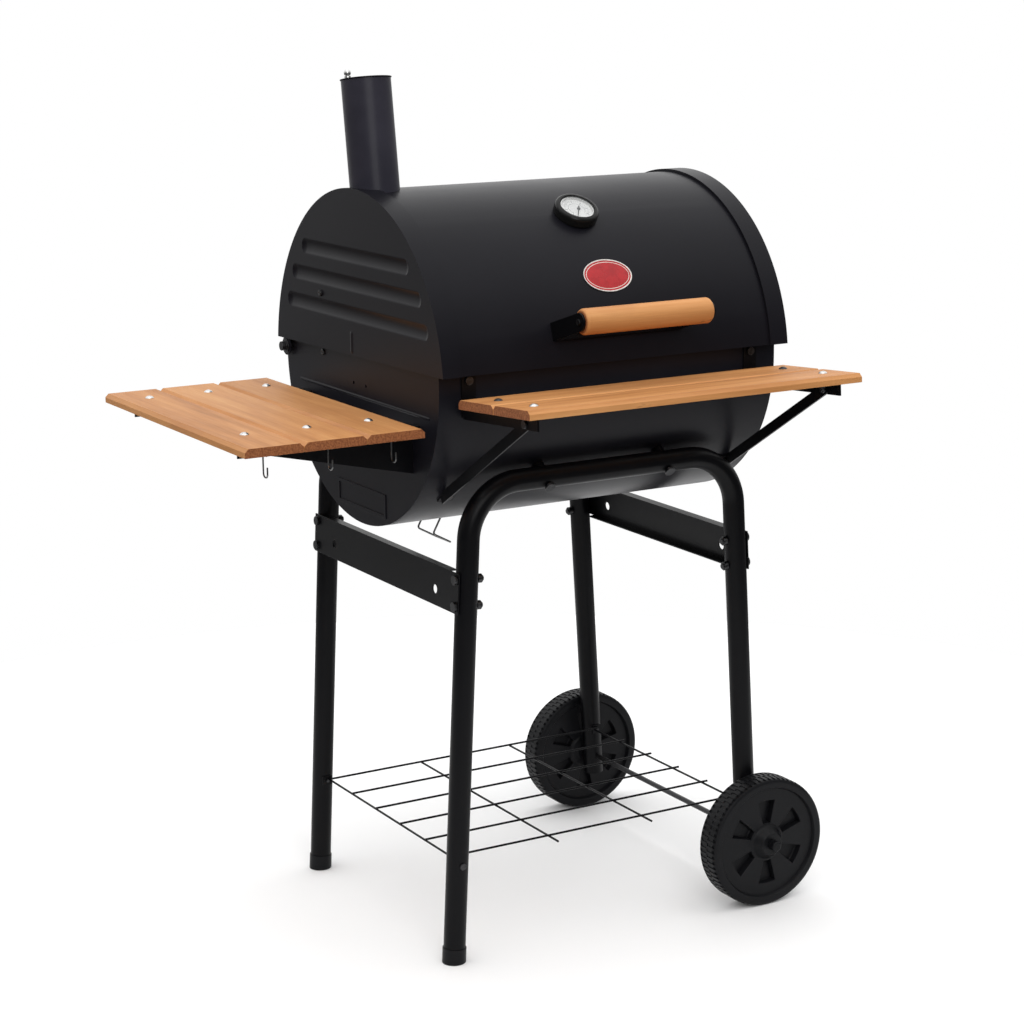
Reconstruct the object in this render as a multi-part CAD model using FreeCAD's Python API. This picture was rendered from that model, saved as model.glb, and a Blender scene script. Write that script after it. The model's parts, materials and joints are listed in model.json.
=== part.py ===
import FreeCAD
import Part
import math
import os

V = FreeCAD.Vector

# ---------------------------------------------------------------------------
# Driving dimensions, millimetres. +X runs along the barrel to the wheel side,
# -Y is the front, +Z is up and z = 0 is the floor.
# ---------------------------------------------------------------------------

# barrel
lid_length = 566.0            # over both lid ends
lid_radius = 262.6            # outside of the end bands
lid_centre_y = -2.9
lid_centre_z = 822.3
lid_front_edge_z = 851.2
lid_back_edge_z = 843.2
band_width = 30.0
band_step = 4.0               # the hemmed end bands stand proud of the sheet
sheet = 2.0                   # sheet steel thickness
body_length = 553.2
body_half_depth = 240.0
body_drop = 227.0
body_side_r = 218.0
body_centre_z = 829.8
body_rim_z = 856.0

# lid hinge
hinge_y = 230.0
hinge_z = 833.0
hinge_pin_r = 4.0
ear_r = 14.0

# fits
running = 0.05                # radial clearance of pins that turn
side_gap = 0.3                # side clearance between moving faces

# legs and frame
tube_r = 15.875
tube_wall = 1.6
leg_centre_y = 1.6
leg_half_track = 219.4
foot_half_span = 256.2
seam_half_span = 227.5
seam_z = 526.0
neck_length = 55.0
frame_top_z = 689.5
frame_bend_r = 80.0
wheel_leg_end_z = 69.0
foot_cap_r = 17.2
foot_cap_height = 22.6
foot_cap_floor = 3.0

# braces
brace_z = 540.0
brace_height = 58.0
brace_reach = 228.0
brace_sheet = 2.0
brace_flange = 12.0
brace_bolt_offset = 19.0
bolt_r = 4.0

# wheels
wheel_r = 99.0
wheel_width = 41.0
wheel_half_track = 258.5
wheel_centre_y = 1.0
axle_r = 4.0
hub_r = 22.0
pocket_inner_r = 29.0
pocket_outer_r = 66.0
pocket_depth = 12.0
pocket_count = 6
hub_rise = 9.0                 # the hub stands proud of the outer face
hub_nose_r = 12.0

# bottom rack
rack_z = 147.0
wire_r = 1.6
rack_rows = 6
rack_columns = 4
rack_half_length = 243.0
rack_front_y = -195.0
rack_back_y = 200.0

# side shelf
side_top_z = 786.6
side_outer_x = -571.5
side_board_widths = (83.0, 90.0, 85.0)
side_board_gap = 1.5
side_front_y = -262.0
side_back_y = 234.0
side_bolt_x = (-529.8, -438.7, -346.5)
side_bolt_y = 166.7
board_thickness = 12.5
board_chamfer = 5.0

# front shelf
front_top_z = 825.9           # top face at the back bolt row
front_row_y = -322.4
front_tilt = 4.1              # degrees, front edge up
front_board_width = 93.0
front_board_gap = 1.5
front_half_length = 265.0
front_bolt_x = 232.0
front_bolt_pitch = 92.7
front_board_back = 50.0       # from the back bolt row to the back edge

# smokestack
stack_x = -244.0
stack_tilt = 7.8
stack_r = 35.35
stack_wall = 2.0
stack_top = 158.0             # along its axis from the lid surface

# lid furniture, angles in degrees up from the front horizontal
furniture_x = 4.0             # thermometer and badge
handle_x = 0.8
handle_angle = 17.0
handle_reach = 74.8
handle_r = 18.0
handle_length = 207.5
strap_width = 25.0
strap = 3.0
thermometer_angle = 58.4
thermometer_r = 32.3
thermometer_height = 15.0
badge_angle = 33.3
badge_width = 78.0
badge_height = 50.0

# things inside
grate_z = 822.0
grate_half_length = 260.0
grate_half_depth = 222.0
grate_bar = 5.0
charcoal_z = 700.0
charcoal_half_length = 262.0
rack_pivot_y = 60.0           # warming rack pivot on the lid
rack_pivot_z = 960.0
rack_link = 150.0             # level distance between the rack's two pivots
rack_pin_r = 3.0

lid_sheet_r = lid_radius - band_step
half = lid_length / 2.0
body_half = body_length / 2.0


# ---------------------------------------------------------------------------
# small builders
# ---------------------------------------------------------------------------

def block(x0, x1, y0, y1, z0, z1):
    return Part.makeBox(x1 - x0, y1 - y0, z1 - z0, V(x0, y0, z0))


def rod(start, end, radius):
    a = V(*start)
    b = V(*end)
    return Part.makeCylinder(radius, (b - a).Length, a, b - a)


def plate(points, direction):
    """A flat polygon pushed along direction."""
    corners = [V(*p) for p in points]
    face = Part.Face(Part.makePolygon(corners + [corners[0]]))
    return face.extrude(V(*direction))


def join(shapes):
    body = shapes[0]
    if len(shapes) > 1:
        body = body.fuse(shapes[1:])
    return body.removeSplitter()


def loose(shapes):
    return Part.makeCompound(shapes)


def turned(shape, centre, axis, degrees):
    copy = shape.copy()
    copy.rotate(V(*centre), V(*axis), degrees)
    return copy


def mirrored(shape):
    return shape.mirror(V(0, 0, 0), V(1, 0, 0))


def wire_along(points, radius, bend):
    """A round wire through the points with rounded corners."""
    path = [V(*p) for p in points]
    edges = []
    start = path[0]
    for i in range(1, len(path) - 1):
        back = (path[i - 1] - path[i]).normalize()
        ahead = (path[i + 1] - path[i]).normalize()
        half_angle = back.getAngle(ahead) / 2.0
        trim = bend / math.tan(half_angle)
        a = path[i] + back * trim
        b = path[i] + ahead * trim
        bisector = (back + ahead).normalize()
        centre = path[i] + bisector * (bend / math.sin(half_angle))
        middle = centre - bisector * bend
        if (a - start).Length > 0.001:
            edges.append(Part.LineSegment(start, a).toShape())
        edges.append(Part.Arc(a, middle, b).toShape())
        start = b
    if (path[-1] - start).Length > 0.001:
        edges.append(Part.LineSegment(start, path[-1]).toShape())
    spine = Part.Wire(edges)
    circle = Part.Circle(path[0], path[1] - path[0], radius).toShape()
    return spine.makePipeShell([Part.Wire(circle)], True, True).Solids[0]


def tangent_frame(shape, angle):
    """Carry a piece built on the front horizontal of the lid up to its angle."""
    return turned(shape, (0, lid_centre_y, lid_centre_z), (1, 0, 0), -angle)


def on_lid(distance):
    """y of a point that far from the lid axis along the front horizontal."""
    return lid_centre_y - distance


# ---------------------------------------------------------------------------
# barrel body
# ---------------------------------------------------------------------------

def body_arcs():
    """Centres and radii of the side and base arcs that make the barrel's section."""
    inset = body_half_depth - body_side_r
    base_r = (inset ** 2 + body_drop ** 2 - body_side_r ** 2) / (2 * (body_drop - body_side_r))
    rise = base_r - body_drop
    return inset, base_r, rise


def seam_angle():
    """Degrees below the horizontal where the side arc meets the base arc."""
    inset, base_r, rise = body_arcs()
    return math.degrees(math.atan2(rise, inset))


def trough(skin, x0, x1, top):
    """The filled barrel section, skin millimetres inside its outer face."""
    inset, base_r, rise = body_arcs()
    side_r = body_side_r - skin
    base_r = base_r - skin
    z = body_centre_z

    def side_point(sign, degrees):
        a = math.radians(degrees)
        return V(x0, sign * (inset + side_r * math.cos(a)), z - side_r * math.sin(a))

    meet = seam_angle()
    bottom = V(x0, 0, z + rise - base_r)
    edges = [Part.LineSegment(V(x0, -inset - side_r, top), side_point(-1, 0)).toShape()]
    edges.append(Part.Arc(side_point(-1, 0), side_point(-1, meet / 2), side_point(-1, meet)).toShape())
    edges.append(Part.Arc(side_point(-1, meet), bottom, side_point(1, meet)).toShape())
    edges.append(Part.Arc(side_point(1, meet), side_point(1, meet / 2), side_point(1, 0)).toShape())
    edges.append(Part.LineSegment(side_point(1, 0), V(x0, inset + side_r, top)).toShape())
    edges.append(Part.LineSegment(V(x0, inset + side_r, top), V(x0, -inset - side_r, top)).toShape())
    return Part.Face(Part.Wire(edges)).extrude(V(x1 - x0, 0, 0))


def barrel_normal(angle, end=-1):
    """Outward unit normal, angle in degrees below the horizontal."""
    a = math.radians(angle)
    return V(0, end * math.cos(a), -math.sin(a))


def barrel_point(angle, end=-1):
    """Point of the outer face where that normal stands."""
    inset, base_r, rise = body_arcs()
    n = barrel_normal(angle, end)
    if angle <= seam_angle():
        return V(0, end * inset, body_centre_z) + n * body_side_r
    return V(0, 0, body_centre_z + rise) + n * base_r


def make_body_shell():
    inner_half = body_half - sheet
    outer = trough(0.0, -inner_half, inner_half, body_rim_z)
    inner = trough(sheet, -inner_half - 5, inner_half + 5, body_rim_z + 5)
    shell = outer.cut(inner)
    floor_z = body_centre_z - body_drop
    for y in (-drip_half_width, drip_half_width):
        shell = shell.cut(rod((drip_x - 2, y, floor_z - 10), (drip_x - 2, y, floor_z + 12), drip_hole_r))
    for bolt in barrel_bolt_axes():
        shell = shell.cut(rod(bolt[0], bolt[1], bolt_r))
    for side in (-1, 1):
        shell = shell.cut(arm_bolt_shank(side))
        shell = shell.cut(strut_bolt_shank(side))
    return shell


def body_end_blank(side):
    x0 = -body_half if side < 0 else body_half - sheet
    blank = trough(0.0, x0, x0 + sheet, body_rim_z)
    blank = blank.cut(rod((side * (body_half - 9), hinge_y, hinge_z),
                          (side * (body_half + 9), hinge_y, hinge_z), hinge_pin_r))
    pin_y = hinge_y - rack_link
    pin = rod((side * (body_half - sheet), pin_y, hinge_z), (side * (rack_leg_in - 3), pin_y, hinge_z),
              rack_pin_r)
    return join([blank, pin])


def make_body_end_left():
    plate_body = body_end_blank(-1)
    for y in (-body_half_depth * 0.088, body_half_depth * 0.073):
        plate_body = plate_body.cut(rod((-body_half - 5, y, body_centre_z - 23.7),
                                        (-body_half + 5, y, body_centre_z - 23.7), 2.5))
    for y, z in side_flange_bolts():
        plate_body = plate_body.cut(rod((-body_half - 5, y, z), (-body_half + 5, y, z), small_bolt_r))
    panel = block(-body_half - 1.2, -body_half, -76, 76, body_centre_z - body_drop + 20, 658)
    panel = panel.cut(block(-body_half - 5, -body_half + 5, -71, 71, 0, 653))
    lower = block(-body_half - 1.2, -body_half, -76, 76, body_centre_z - body_drop + 20,
                  body_centre_z - body_drop + 25)
    return join([plate_body, panel, lower])


vent_circle = 32.0
vent_r = 13.0
vent_z = 735.0
vent_count = 3
shutter_r = 50.0


def make_body_end_right():
    plate_body = body_end_blank(1)
    for i in range(vent_count):
        a = math.radians(90 + 360.0 * i / vent_count)
        y = vent_circle * math.cos(a)
        z = vent_z + vent_circle * math.sin(a)
        plate_body = plate_body.cut(rod((body_half - 5, y, z), (body_half + 5, y, z), vent_r))
    post = rod((body_half - sheet, 0, vent_z), (body_half + side_gap + sheet + side_gap, 0, vent_z),
               rack_pin_r)
    head = rod((body_half + 2 * side_gap + sheet, 0, vent_z),
               (body_half + 2 * side_gap + sheet + 2.5, 0, vent_z), 7.0)
    return join([plate_body, post, head])


def make_air_shutter():
    x0 = body_half + side_gap
    disc = rod((x0, 0, vent_z), (x0 + sheet, 0, vent_z), shutter_r)
    for i in range(vent_count):
        a = math.radians(90 + 30 + 360.0 * i / vent_count)
        y = vent_circle * math.cos(a)
        z = vent_z + vent_circle * math.sin(a)
        disc = disc.cut(rod((x0 - 5, y, z), (x0 + 5, y, z), vent_r))
    tab = block(x0, x0 + sheet, -9, 9, vent_z + shutter_r - 6, vent_z + shutter_r + 12)
    grip = block(x0, x0 + 14, -9, 9, vent_z + shutter_r + 12 - sheet, vent_z + shutter_r + 12)
    disc = join([disc, tab, grip])
    return disc.cut(rod((x0 - 5, 0, vent_z), (x0 + 5, 0, vent_z), rack_pin_r + running))


def make_grate_supports():
    rails = []
    length = body_half - sheet
    for side in (-1, 1):
        wall = side * (body_half_depth - sheet - 0.5)
        ledge = wall - side * 20
        ys = sorted((wall, ledge))
        rail = block(-length + 12, length - 12, ys[0], ys[1], grate_z - 2, grate_z)
        lip_ys = sorted((wall, wall - side * 2))
        lip = block(-length + 12, length - 12, lip_ys[0], lip_ys[1], grate_z - 2, grate_z + 12)
        rails.append(join([rail, lip]))
    for side in (-1, 1):
        xs = sorted((side * length, side * (length - 22)))
        ledge = block(xs[0], xs[1], -130, 130, charcoal_z - 2, charcoal_z)
        xs = sorted((side * length, side * (length - 2)))
        lip = block(xs[0], xs[1], -130, 130, charcoal_z - 16, charcoal_z)
        rails.append(join([ledge, lip]))
    return loose(rails)


# ---------------------------------------------------------------------------
# lid
# ---------------------------------------------------------------------------

def lid_disc(radius, x0, x1):
    whole = rod((x0, lid_centre_y, lid_centre_z), (x1, lid_centre_y, lid_centre_z), radius)
    front = (lid_centre_y - lid_radius - 40, lid_front_edge_z)
    back = (lid_centre_y + lid_radius + 40, lid_back_edge_z)
    below = plate([(x0 - 1, front[0], front[1]), (x0 - 1, back[0], back[1]),
                   (x0 - 1, back[0], 300), (x0 - 1, front[0], 300)], (x1 - x0 + 2, 0, 0))
    return whole.cut(below)


def stack_axis():
    a = math.radians(stack_tilt)
    return V(0, math.sin(a), math.cos(a))


def stack_foot():
    return V(stack_x, 0, lid_centre_z + lid_sheet_r - 4)


def stack_cylinder(radius, low, high):
    foot = stack_foot()
    axis = stack_axis()
    return Part.makeCylinder(radius, high - low, foot + axis * low, axis)


def lid_holes():
    tools = [stack_cylinder(stack_r - stack_wall, -40, 60)]
    stem = rod((furniture_x, on_lid(lid_sheet_r - 20), lid_centre_z),
               (furniture_x, on_lid(lid_sheet_r + 5), lid_centre_z), stem_r)
    tools.append(tangent_frame(stem, thermometer_angle))
    for x in handle_bolt_x():
        shank = rod((x, on_lid(lid_sheet_r - 20), lid_centre_z),
                    (x, on_lid(lid_sheet_r + 5), lid_centre_z), small_bolt_r)
        tools.append(tangent_frame(shank, handle_angle))
    return tools


def make_lid_sheet():
    x = half - sheet
    shell = lid_disc(lid_sheet_r, -x, x).cut(lid_disc(lid_sheet_r - sheet, -x - 2, x + 2))
    for tool in lid_holes():
        shell = shell.cut(tool)
    return shell


# pressed grooves: height of the middle line and reach each side of the lid's axis
groove_rows = ((990.0, 168.0), (949.5, 203.0), (907.0, 221.5))
groove_half_width = 12.0
groove_depth = 3.5


def groove_capsule(z, reach, side, extra):
    """A round bar with ball ends whose side dips into the lid end; extra is the metal's thickness."""
    bend = (groove_half_width ** 2 + groove_depth ** 2) / (2 * groove_depth)
    x = side * (half + bend - groove_depth)
    inner_end = reach - groove_half_width
    start = V(x, lid_centre_y - inner_end, z)
    end = V(x, lid_centre_y + inner_end, z)
    radius = bend + extra
    bar = rod(tuple(start), tuple(end), radius)
    return join([bar, Part.makeSphere(radius, start), Part.makeSphere(radius, end)])


def inside_slab(side):
    """The room just inside a lid end, where the backs of the grooves show."""
    xs = sorted((side * (half - sheet / 2), side * (half - sheet - groove_depth - 1)))
    return block(xs[0], xs[1], -300, 300, 880, 1020)


def make_lid_end(side):
    xs = sorted((side * half, side * (half - sheet)))
    cap = lid_disc(lid_radius, xs[0], xs[1])
    bs = sorted((side * half, side * (half - band_width)))
    band = lid_disc(lid_radius, bs[0], bs[1])
    band = band.cut(lid_disc(lid_sheet_r, bs[0] - 2, bs[1] + 2))
    ear = rod((xs[0], hinge_y, hinge_z), (xs[1], hinge_y, hinge_z), ear_r)
    pieces = [cap, band, ear]
    for z, reach in groove_rows:
        pieces.append(groove_capsule(z, reach, side, sheet).common(inside_slab(side)))
    inner = half - sheet
    pieces.append(rod((side * inner, rack_pivot_y, rack_pivot_z),
                      (side * rack_bar_in, rack_pivot_y, rack_pivot_z), rack_pin_r))
    body = join(pieces)
    body = body.cut(rod((xs[0] - 5, hinge_y, hinge_z), (xs[1] + 5, hinge_y, hinge_z),
                        hinge_pin_r + running))
    for z, reach in groove_rows:
        body = body.cut(groove_capsule(z, reach, side, 0))
    if side < 0:
        body = body.cut(stack_cylinder(stack_r - stack_wall, -40, 60))
    return body


def make_hinge_bolts():
    bolts = []
    for side in (-1, 1):
        inner = body_half - sheet
        shank = rod((side * (inner - 8), hinge_y, hinge_z), (side * (half + 9), hinge_y, hinge_z),
                    hinge_pin_r)
        nut = rod((side * (inner - 6), hinge_y, hinge_z), (side * inner, hinge_y, hinge_z), 6.5)
        spacer = rod((side * body_half, hinge_y, hinge_z),
                     (side * (half - sheet - side_gap), hinge_y, hinge_z), 8.0)
        washer = rod((side * (half + side_gap), hinge_y, hinge_z), (side * (half + 2), hinge_y, hinge_z),
                     11.0)
        knob = rod((side * (half + 2), hinge_y, hinge_z), (side * (half + 9), hinge_y, hinge_z), 7.0)
        bolts.append(join([shank, nut, spacer, washer, knob]))
    return loose(bolts)


# handle

small_bolt_r = 3.0
stem_r = 3.0


def handle_bolt_x():
    return (handle_x - handle_length * 0.3, handle_x + handle_length * 0.3)


def make_handle_bracket():
    centre = lid_centre_z
    left = handle_x - handle_length / 2
    right = handle_x + handle_length / 2
    near = on_lid(lid_sheet_r)
    far = on_lid(lid_sheet_r + handle_reach)
    low = centre - strap_width / 2
    high = centre + strap_width / 2
    pieces = [block(left - strap, right + strap, near - strap, near, low, high)]
    for x0 in (left - strap, right):
        pieces.append(block(x0, x0 + strap, far, near, low, high))
        pieces.append(rod((x0, far, centre), (x0 + strap, far, centre), strap_width / 2))
    bracket = join(pieces)
    for x in (left - 20, right + 20):
        shank = rod((min(x, x + 40 if x < 0 else x - 40), far, centre),
                    (max(x, x + 40 if x < 0 else x - 40), far, centre), 2.5)
        bracket = bracket.cut(shank)
    for x in handle_bolt_x():
        bracket = bracket.cut(rod((x, near - 10, centre), (x, near + 10, centre), small_bolt_r))
    return tangent_frame(bracket, handle_angle)


def make_handle_grip():
    left = handle_x - handle_length / 2
    far = on_lid(lid_sheet_r + handle_reach)
    grip = rod((left, far, lid_centre_z), (left + handle_length, far, lid_centre_z), handle_r)
    grip = grip.makeChamfer(3.5, [e for e in grip.Edges if e.Curve.TypeId == "Part::GeomCircle"])
    for x0, x1 in ((left - 1, left + 25), (left + handle_length - 25, left + handle_length + 1)):
        grip = grip.cut(rod((x0, far, lid_centre_z), (x1, far, lid_centre_z), 2.5))
    return tangent_frame(grip, handle_angle)


def make_handle_screws():
    left = handle_x - handle_length / 2
    far = on_lid(lid_sheet_r + handle_reach)
    screws = []
    for face, out in ((left, -1), (left + handle_length, 1)):
        outer = face + out * strap
        shank = rod((outer, far, lid_centre_z), (face - out * 22, far, lid_centre_z), 2.5)
        head = rod((outer, far, lid_centre_z), (outer + out * 2.2, far, lid_centre_z), 4.5)
        screws.append(join([shank, head]))
    near = on_lid(lid_sheet_r)
    inner = on_lid(lid_sheet_r - sheet - 0.3)
    for x in handle_bolt_x():
        shank = rod((x, near - strap, lid_centre_z), (x, inner + 8, lid_centre_z), small_bolt_r)
        head = rod((x, near - strap - 3, lid_centre_z), (x, near - strap, lid_centre_z), 6.0)
        nut = rod((x, inner, lid_centre_z), (x, inner + 5, lid_centre_z), 5.5)
        screws.append(join([shank, head, nut]))
    return tangent_frame(loose(screws), handle_angle)


# thermometer

dial_r = 25.0
dial_seat = 8.0                # back of the dial above the lid sheet


def thermometer_axis(x0, x1, radius):
    piece = rod((furniture_x, on_lid(lid_sheet_r + x0), lid_centre_z),
                (furniture_x, on_lid(lid_sheet_r + x1), lid_centre_z), radius)
    return piece


def make_thermometer_case():
    cup = thermometer_axis(0, thermometer_height, thermometer_r)
    rims = [e for e in cup.Edges if abs(e.CenterOfMass.y - on_lid(lid_sheet_r + thermometer_height)) < 0.01]
    cup = cup.makeFillet(5.0, rims)
    cup = cup.cut(thermometer_axis(dial_seat, thermometer_height + 1, dial_r))
    stem = thermometer_axis(-60, 0, stem_r)
    nut = thermometer_axis(-sheet - 0.2 - 5, -sheet - 0.2, 8.0)
    post = thermometer_axis(dial_seat, dial_seat + 4, 1.0)
    case = join([cup, stem, nut, post])
    return tangent_frame(case, thermometer_angle)


def make_thermometer_dial():
    dial = thermometer_axis(dial_seat, dial_seat + 1, dial_r).cut(thermometer_axis(0, 20, 1.0))
    return tangent_frame(dial, thermometer_angle)


def make_thermometer_needle():
    hub = thermometer_axis(dial_seat + 1.6, dial_seat + 2.8, 2.6)
    y0 = on_lid(lid_sheet_r + dial_seat + 2.5)
    y1 = on_lid(lid_sheet_r + dial_seat + 1.9)
    x = furniture_x
    blade = plate([(x - 1.1, y0, lid_centre_z - 7), (x + 1.1, y0, lid_centre_z - 7),
                   (x + 0.5, y0, lid_centre_z + 18), (x - 0.5, y0, lid_centre_z + 18)], (0, y1 - y0, 0))
    needle = join([hub, blade]).cut(thermometer_axis(0, 20, 1.0 + running))
    centre = (furniture_x, 0, lid_centre_z)
    needle = turned(needle, centre, (0, 1, 0), -150)
    return tangent_frame(needle, thermometer_angle)


def make_thermometer_lens():
    lens = thermometer_axis(dial_seat + 4.4, dial_seat + 5.6, dial_r)
    return tangent_frame(lens, thermometer_angle)


def make_badge():
    skin = lid_disc(lid_sheet_r + 1.6, -60, 60).cut(lid_disc(lid_sheet_r, -61, 61))
    oval = Part.Ellipse(V(0, 0, 0), badge_width / 2, badge_height / 2)
    face = Part.Face(Part.Wire(oval.toShape()))
    punch = face.extrude(V(0, 0, 60))
    punch.rotate(V(0, 0, 0), V(1, 0, 0), 90)
    punch.translate(V(furniture_x, on_lid(lid_sheet_r - 20), lid_centre_z))
    return skin.common(tangent_frame(punch, badge_angle))


# smokestack and its damper

damper_pivot_r = 25.0
damper_pivot_turn = 150.0
damper_sheet = 1.6
damper_pin_r = 2.5


def damper_pivot(height):
    a = math.radians(damper_pivot_turn)
    side = V(1, 0, 0)
    back = stack_axis().cross(side)
    across = side * (damper_pivot_r * math.cos(a))
    behind = back * (damper_pivot_r * math.sin(a))
    return stack_foot() + stack_axis() * height + across + behind


def make_smokestack():
    tube = stack_cylinder(stack_r, -30, stack_top).cut(stack_cylinder(stack_r - stack_wall, -40,
                                                                      stack_top + 5))
    full = rod((-half, lid_centre_y, lid_centre_z), (half, lid_centre_y, lid_centre_z), lid_sheet_r)
    band = rod((-half, lid_centre_y, lid_centre_z), (-half + band_width, lid_centre_y, lid_centre_z),
               lid_radius)
    tube = tube.cut(full).cut(band)
    lug = Part.makeCylinder(8.0, 10.0, damper_pivot(stack_top - 10), stack_axis())
    arm = Part.makeBox(16, 16, 10, V(damper_pivot_r, -8, stack_top - 10))
    arm.rotate(V(0, 0, 0), V(0, 0, 1), damper_pivot_turn)
    arm.rotate(V(0, 0, 0), V(1, 0, 0), -stack_tilt)
    arm.translate(stack_foot())
    lug = lug.fuse(arm).common(stack_cylinder(stack_r - 0.5, 0, stack_top))
    tube = join([tube, lug])
    return tube.cut(Part.makeCylinder(damper_pin_r, 30.0, damper_pivot(stack_top - 20), stack_axis()))


def make_stack_damper():
    disc = stack_cylinder(stack_r + 1.2, stack_top + side_gap, stack_top + side_gap + damper_sheet)
    return disc.cut(Part.makeCylinder(damper_pin_r + running, 20.0, damper_pivot(stack_top - 5),
                                      stack_axis()))


def make_damper_bolt():
    top = stack_top + 2 * side_gap + damper_sheet
    pin = Part.makeCylinder(damper_pin_r, 18.0 + top - stack_top, damper_pivot(stack_top - 12),
                            stack_axis())
    nut = Part.makeCylinder(4.6, 4.0, damper_pivot(top), stack_axis())
    ball = Part.makeSphere(5.0, damper_pivot(top + 8.5))
    lock = Part.makeCylinder(5.0, 3.0, damper_pivot(stack_top - 13), stack_axis())
    return join([pin, nut, ball, lock])


# ---------------------------------------------------------------------------
# inside: grates and warming rack
# ---------------------------------------------------------------------------

rack_leg_out = 270.0
rack_leg_in = 266.0
rack_bar_out = 272.0
rack_bar_in = 268.0


def make_cooking_grate(side):
    inner = 0.75
    x0 = inner if side > 0 else -grate_half_length
    x1 = grate_half_length if side > 0 else -inner
    z0 = grate_z
    z1 = grate_z + 10.0
    bars = [block(x0, x1, y, y + 8, z0, z1) for y in (-grate_half_depth, grate_half_depth - 8)]
    bars.append(block(x0, x1, -4, 4, z0, z1 - 2))
    count = 12
    pitch = (x1 - x0 - grate_bar) / count
    for i in range(count + 1):
        x = x0 + i * pitch
        bars.append(block(x, x + grate_bar, -grate_half_depth, grate_half_depth, z0, z1))
    return join(bars)


def make_charcoal_grate():
    half_depth = 160.0
    x1 = charcoal_half_length
    z0 = charcoal_z
    bars = [rod((-x1, y, z0 + 3), (x1, y, z0 + 3), 3.0) for y in (-half_depth, -55, 55, half_depth)]
    count = 20
    for i in range(count + 1):
        x = -x1 + 4 + i * (2 * x1 - 8) / count
        bars.append(rod((x, -half_depth - 4, z0 + 6.5), (x, half_depth + 4, z0 + 6.5), 2.5))
    return join(bars)


def make_warming_rack():
    y_back = rack_pivot_y
    y_front = rack_pivot_y - rack_link
    z = rack_pivot_z
    pieces = []
    for side in (-1, 1):
        xs = sorted((side * rack_bar_out, side * rack_bar_in))
        bar = block(xs[0], xs[1], y_front - 18, y_back + 18, z - 6, z + 6)
        bar = bar.cut(rod((xs[0] - 2, y_back, z), (xs[1] + 2, y_back, z), rack_pin_r + running))
        pieces.append(bar)
        pieces.append(rod((side * rack_bar_in, y_front, z), (side * (rack_leg_in - 8), y_front, z),
                          rack_pin_r))
    for y in (y_front - 12, y_front + 40, y_back - 40, y_back + 12):
        pieces.append(rod((-rack_bar_in - 1, y, z - 3), (rack_bar_in + 1, y, z - 3), 2.0))
    count = 24
    for i in range(count + 1):
        x = -rack_leg_in + 12 + i * (2 * rack_leg_in - 24) / count
        pieces.append(rod((x, y_front - 14, z - 6), (x, y_back + 14, z - 6), 1.6))
    return join(pieces)


def make_warming_rack_legs():
    cy = hinge_y - rack_link
    cz = hinge_z
    by = rack_pivot_y - rack_link
    bz = rack_pivot_z
    legs = []
    for side in (-1, 1):
        xs = sorted((side * (rack_bar_in - 1), side * (rack_leg_in - 2)))
        length = math.hypot(by - cy, bz - cz)
        ny = -(bz - cz) / length * 6
        nz = (by - cy) / length * 6
        bar = plate([(xs[0], cy + ny, cz + nz), (xs[0], by + ny, bz + nz), (xs[0], by - ny, bz - nz),
                     (xs[0], cy - ny, cz - nz)], (xs[1] - xs[0], 0, 0))
        leg = join([bar, rod((xs[0], cy, cz), (xs[1], cy, cz), 7.0),
                    rod((xs[0], by, bz), (xs[1], by, bz), 7.0)])
        leg = leg.cut(rod((xs[0] - 2, cy, cz), (xs[1] + 2, cy, cz), rack_pin_r + running))
        leg = leg.cut(rod((xs[0] - 2, by, bz), (xs[1] + 2, by, bz), rack_pin_r + 0.25))
        legs.append(leg)
    return loose(legs)


# ---------------------------------------------------------------------------
# leg frame
# ---------------------------------------------------------------------------

def leg_x(z):
    return foot_half_span - (foot_half_span - seam_half_span) * z / seam_z


def leg_y(end):
    return leg_centre_y + end * leg_half_track


splay = math.degrees(math.atan2(foot_half_span - seam_half_span, seam_z))


def frame_tube(end, radius, start_z):
    y = leg_y(end)
    top = leg_x(frame_top_z)
    points = [(-leg_x(start_z), y, start_z), (-top, y, frame_top_z), (top, y, frame_top_z),
              (leg_x(start_z), y, start_z)]
    return wire_along(points, radius, frame_bend_r)


def leg_rod(side, end, radius, z0, z1):
    y = leg_y(end)
    return rod((side * leg_x(z0), y, z0), (side * leg_x(z1), y, z1), radius)


def barrel_bolt_axes():
    """Start, end of every bolt that holds the barrel to the two top tubes."""
    axes = []
    for end in (-1, 1):
        for x in (-100.0, 100.0):
            y = leg_y(end)
            nearest = nearest_barrel_point(y, frame_top_z)
            centre = V(0, y, frame_top_z)
            outward = (centre - nearest).normalize()
            tail = nearest - outward * 12
            head = centre + outward * (tube_r - 0.4)
            axes.append(((x, head.y, head.z), (x, tail.y, tail.z)))
    return axes


def nearest_barrel_point(y, z):
    """Point of the base arc nearest to a top tube."""
    inset, base_r, rise = body_arcs()
    centre = V(0, 0, body_centre_z + rise)
    return centre + (V(0, y, z) - centre).normalize() * base_r


def make_leg_frame(end):
    tube = frame_tube(end, tube_r, seam_z).cut(frame_tube(end, tube_r - tube_wall, seam_z))
    for head, tail in barrel_bolt_axes():
        if head[1] * end > 0:
            tube = tube.cut(rod(head, tail, bolt_r))
            far = [head[i] + (head[i] - tail[i]) * 0.5 for i in range(3)]
            tube = tube.cut(rod(head, far, bolt_r))
    for side in (-1, 1):
        for shank in brace_bolt_shanks(side, end):
            tube = tube.cut(shank)
    return tube


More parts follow.
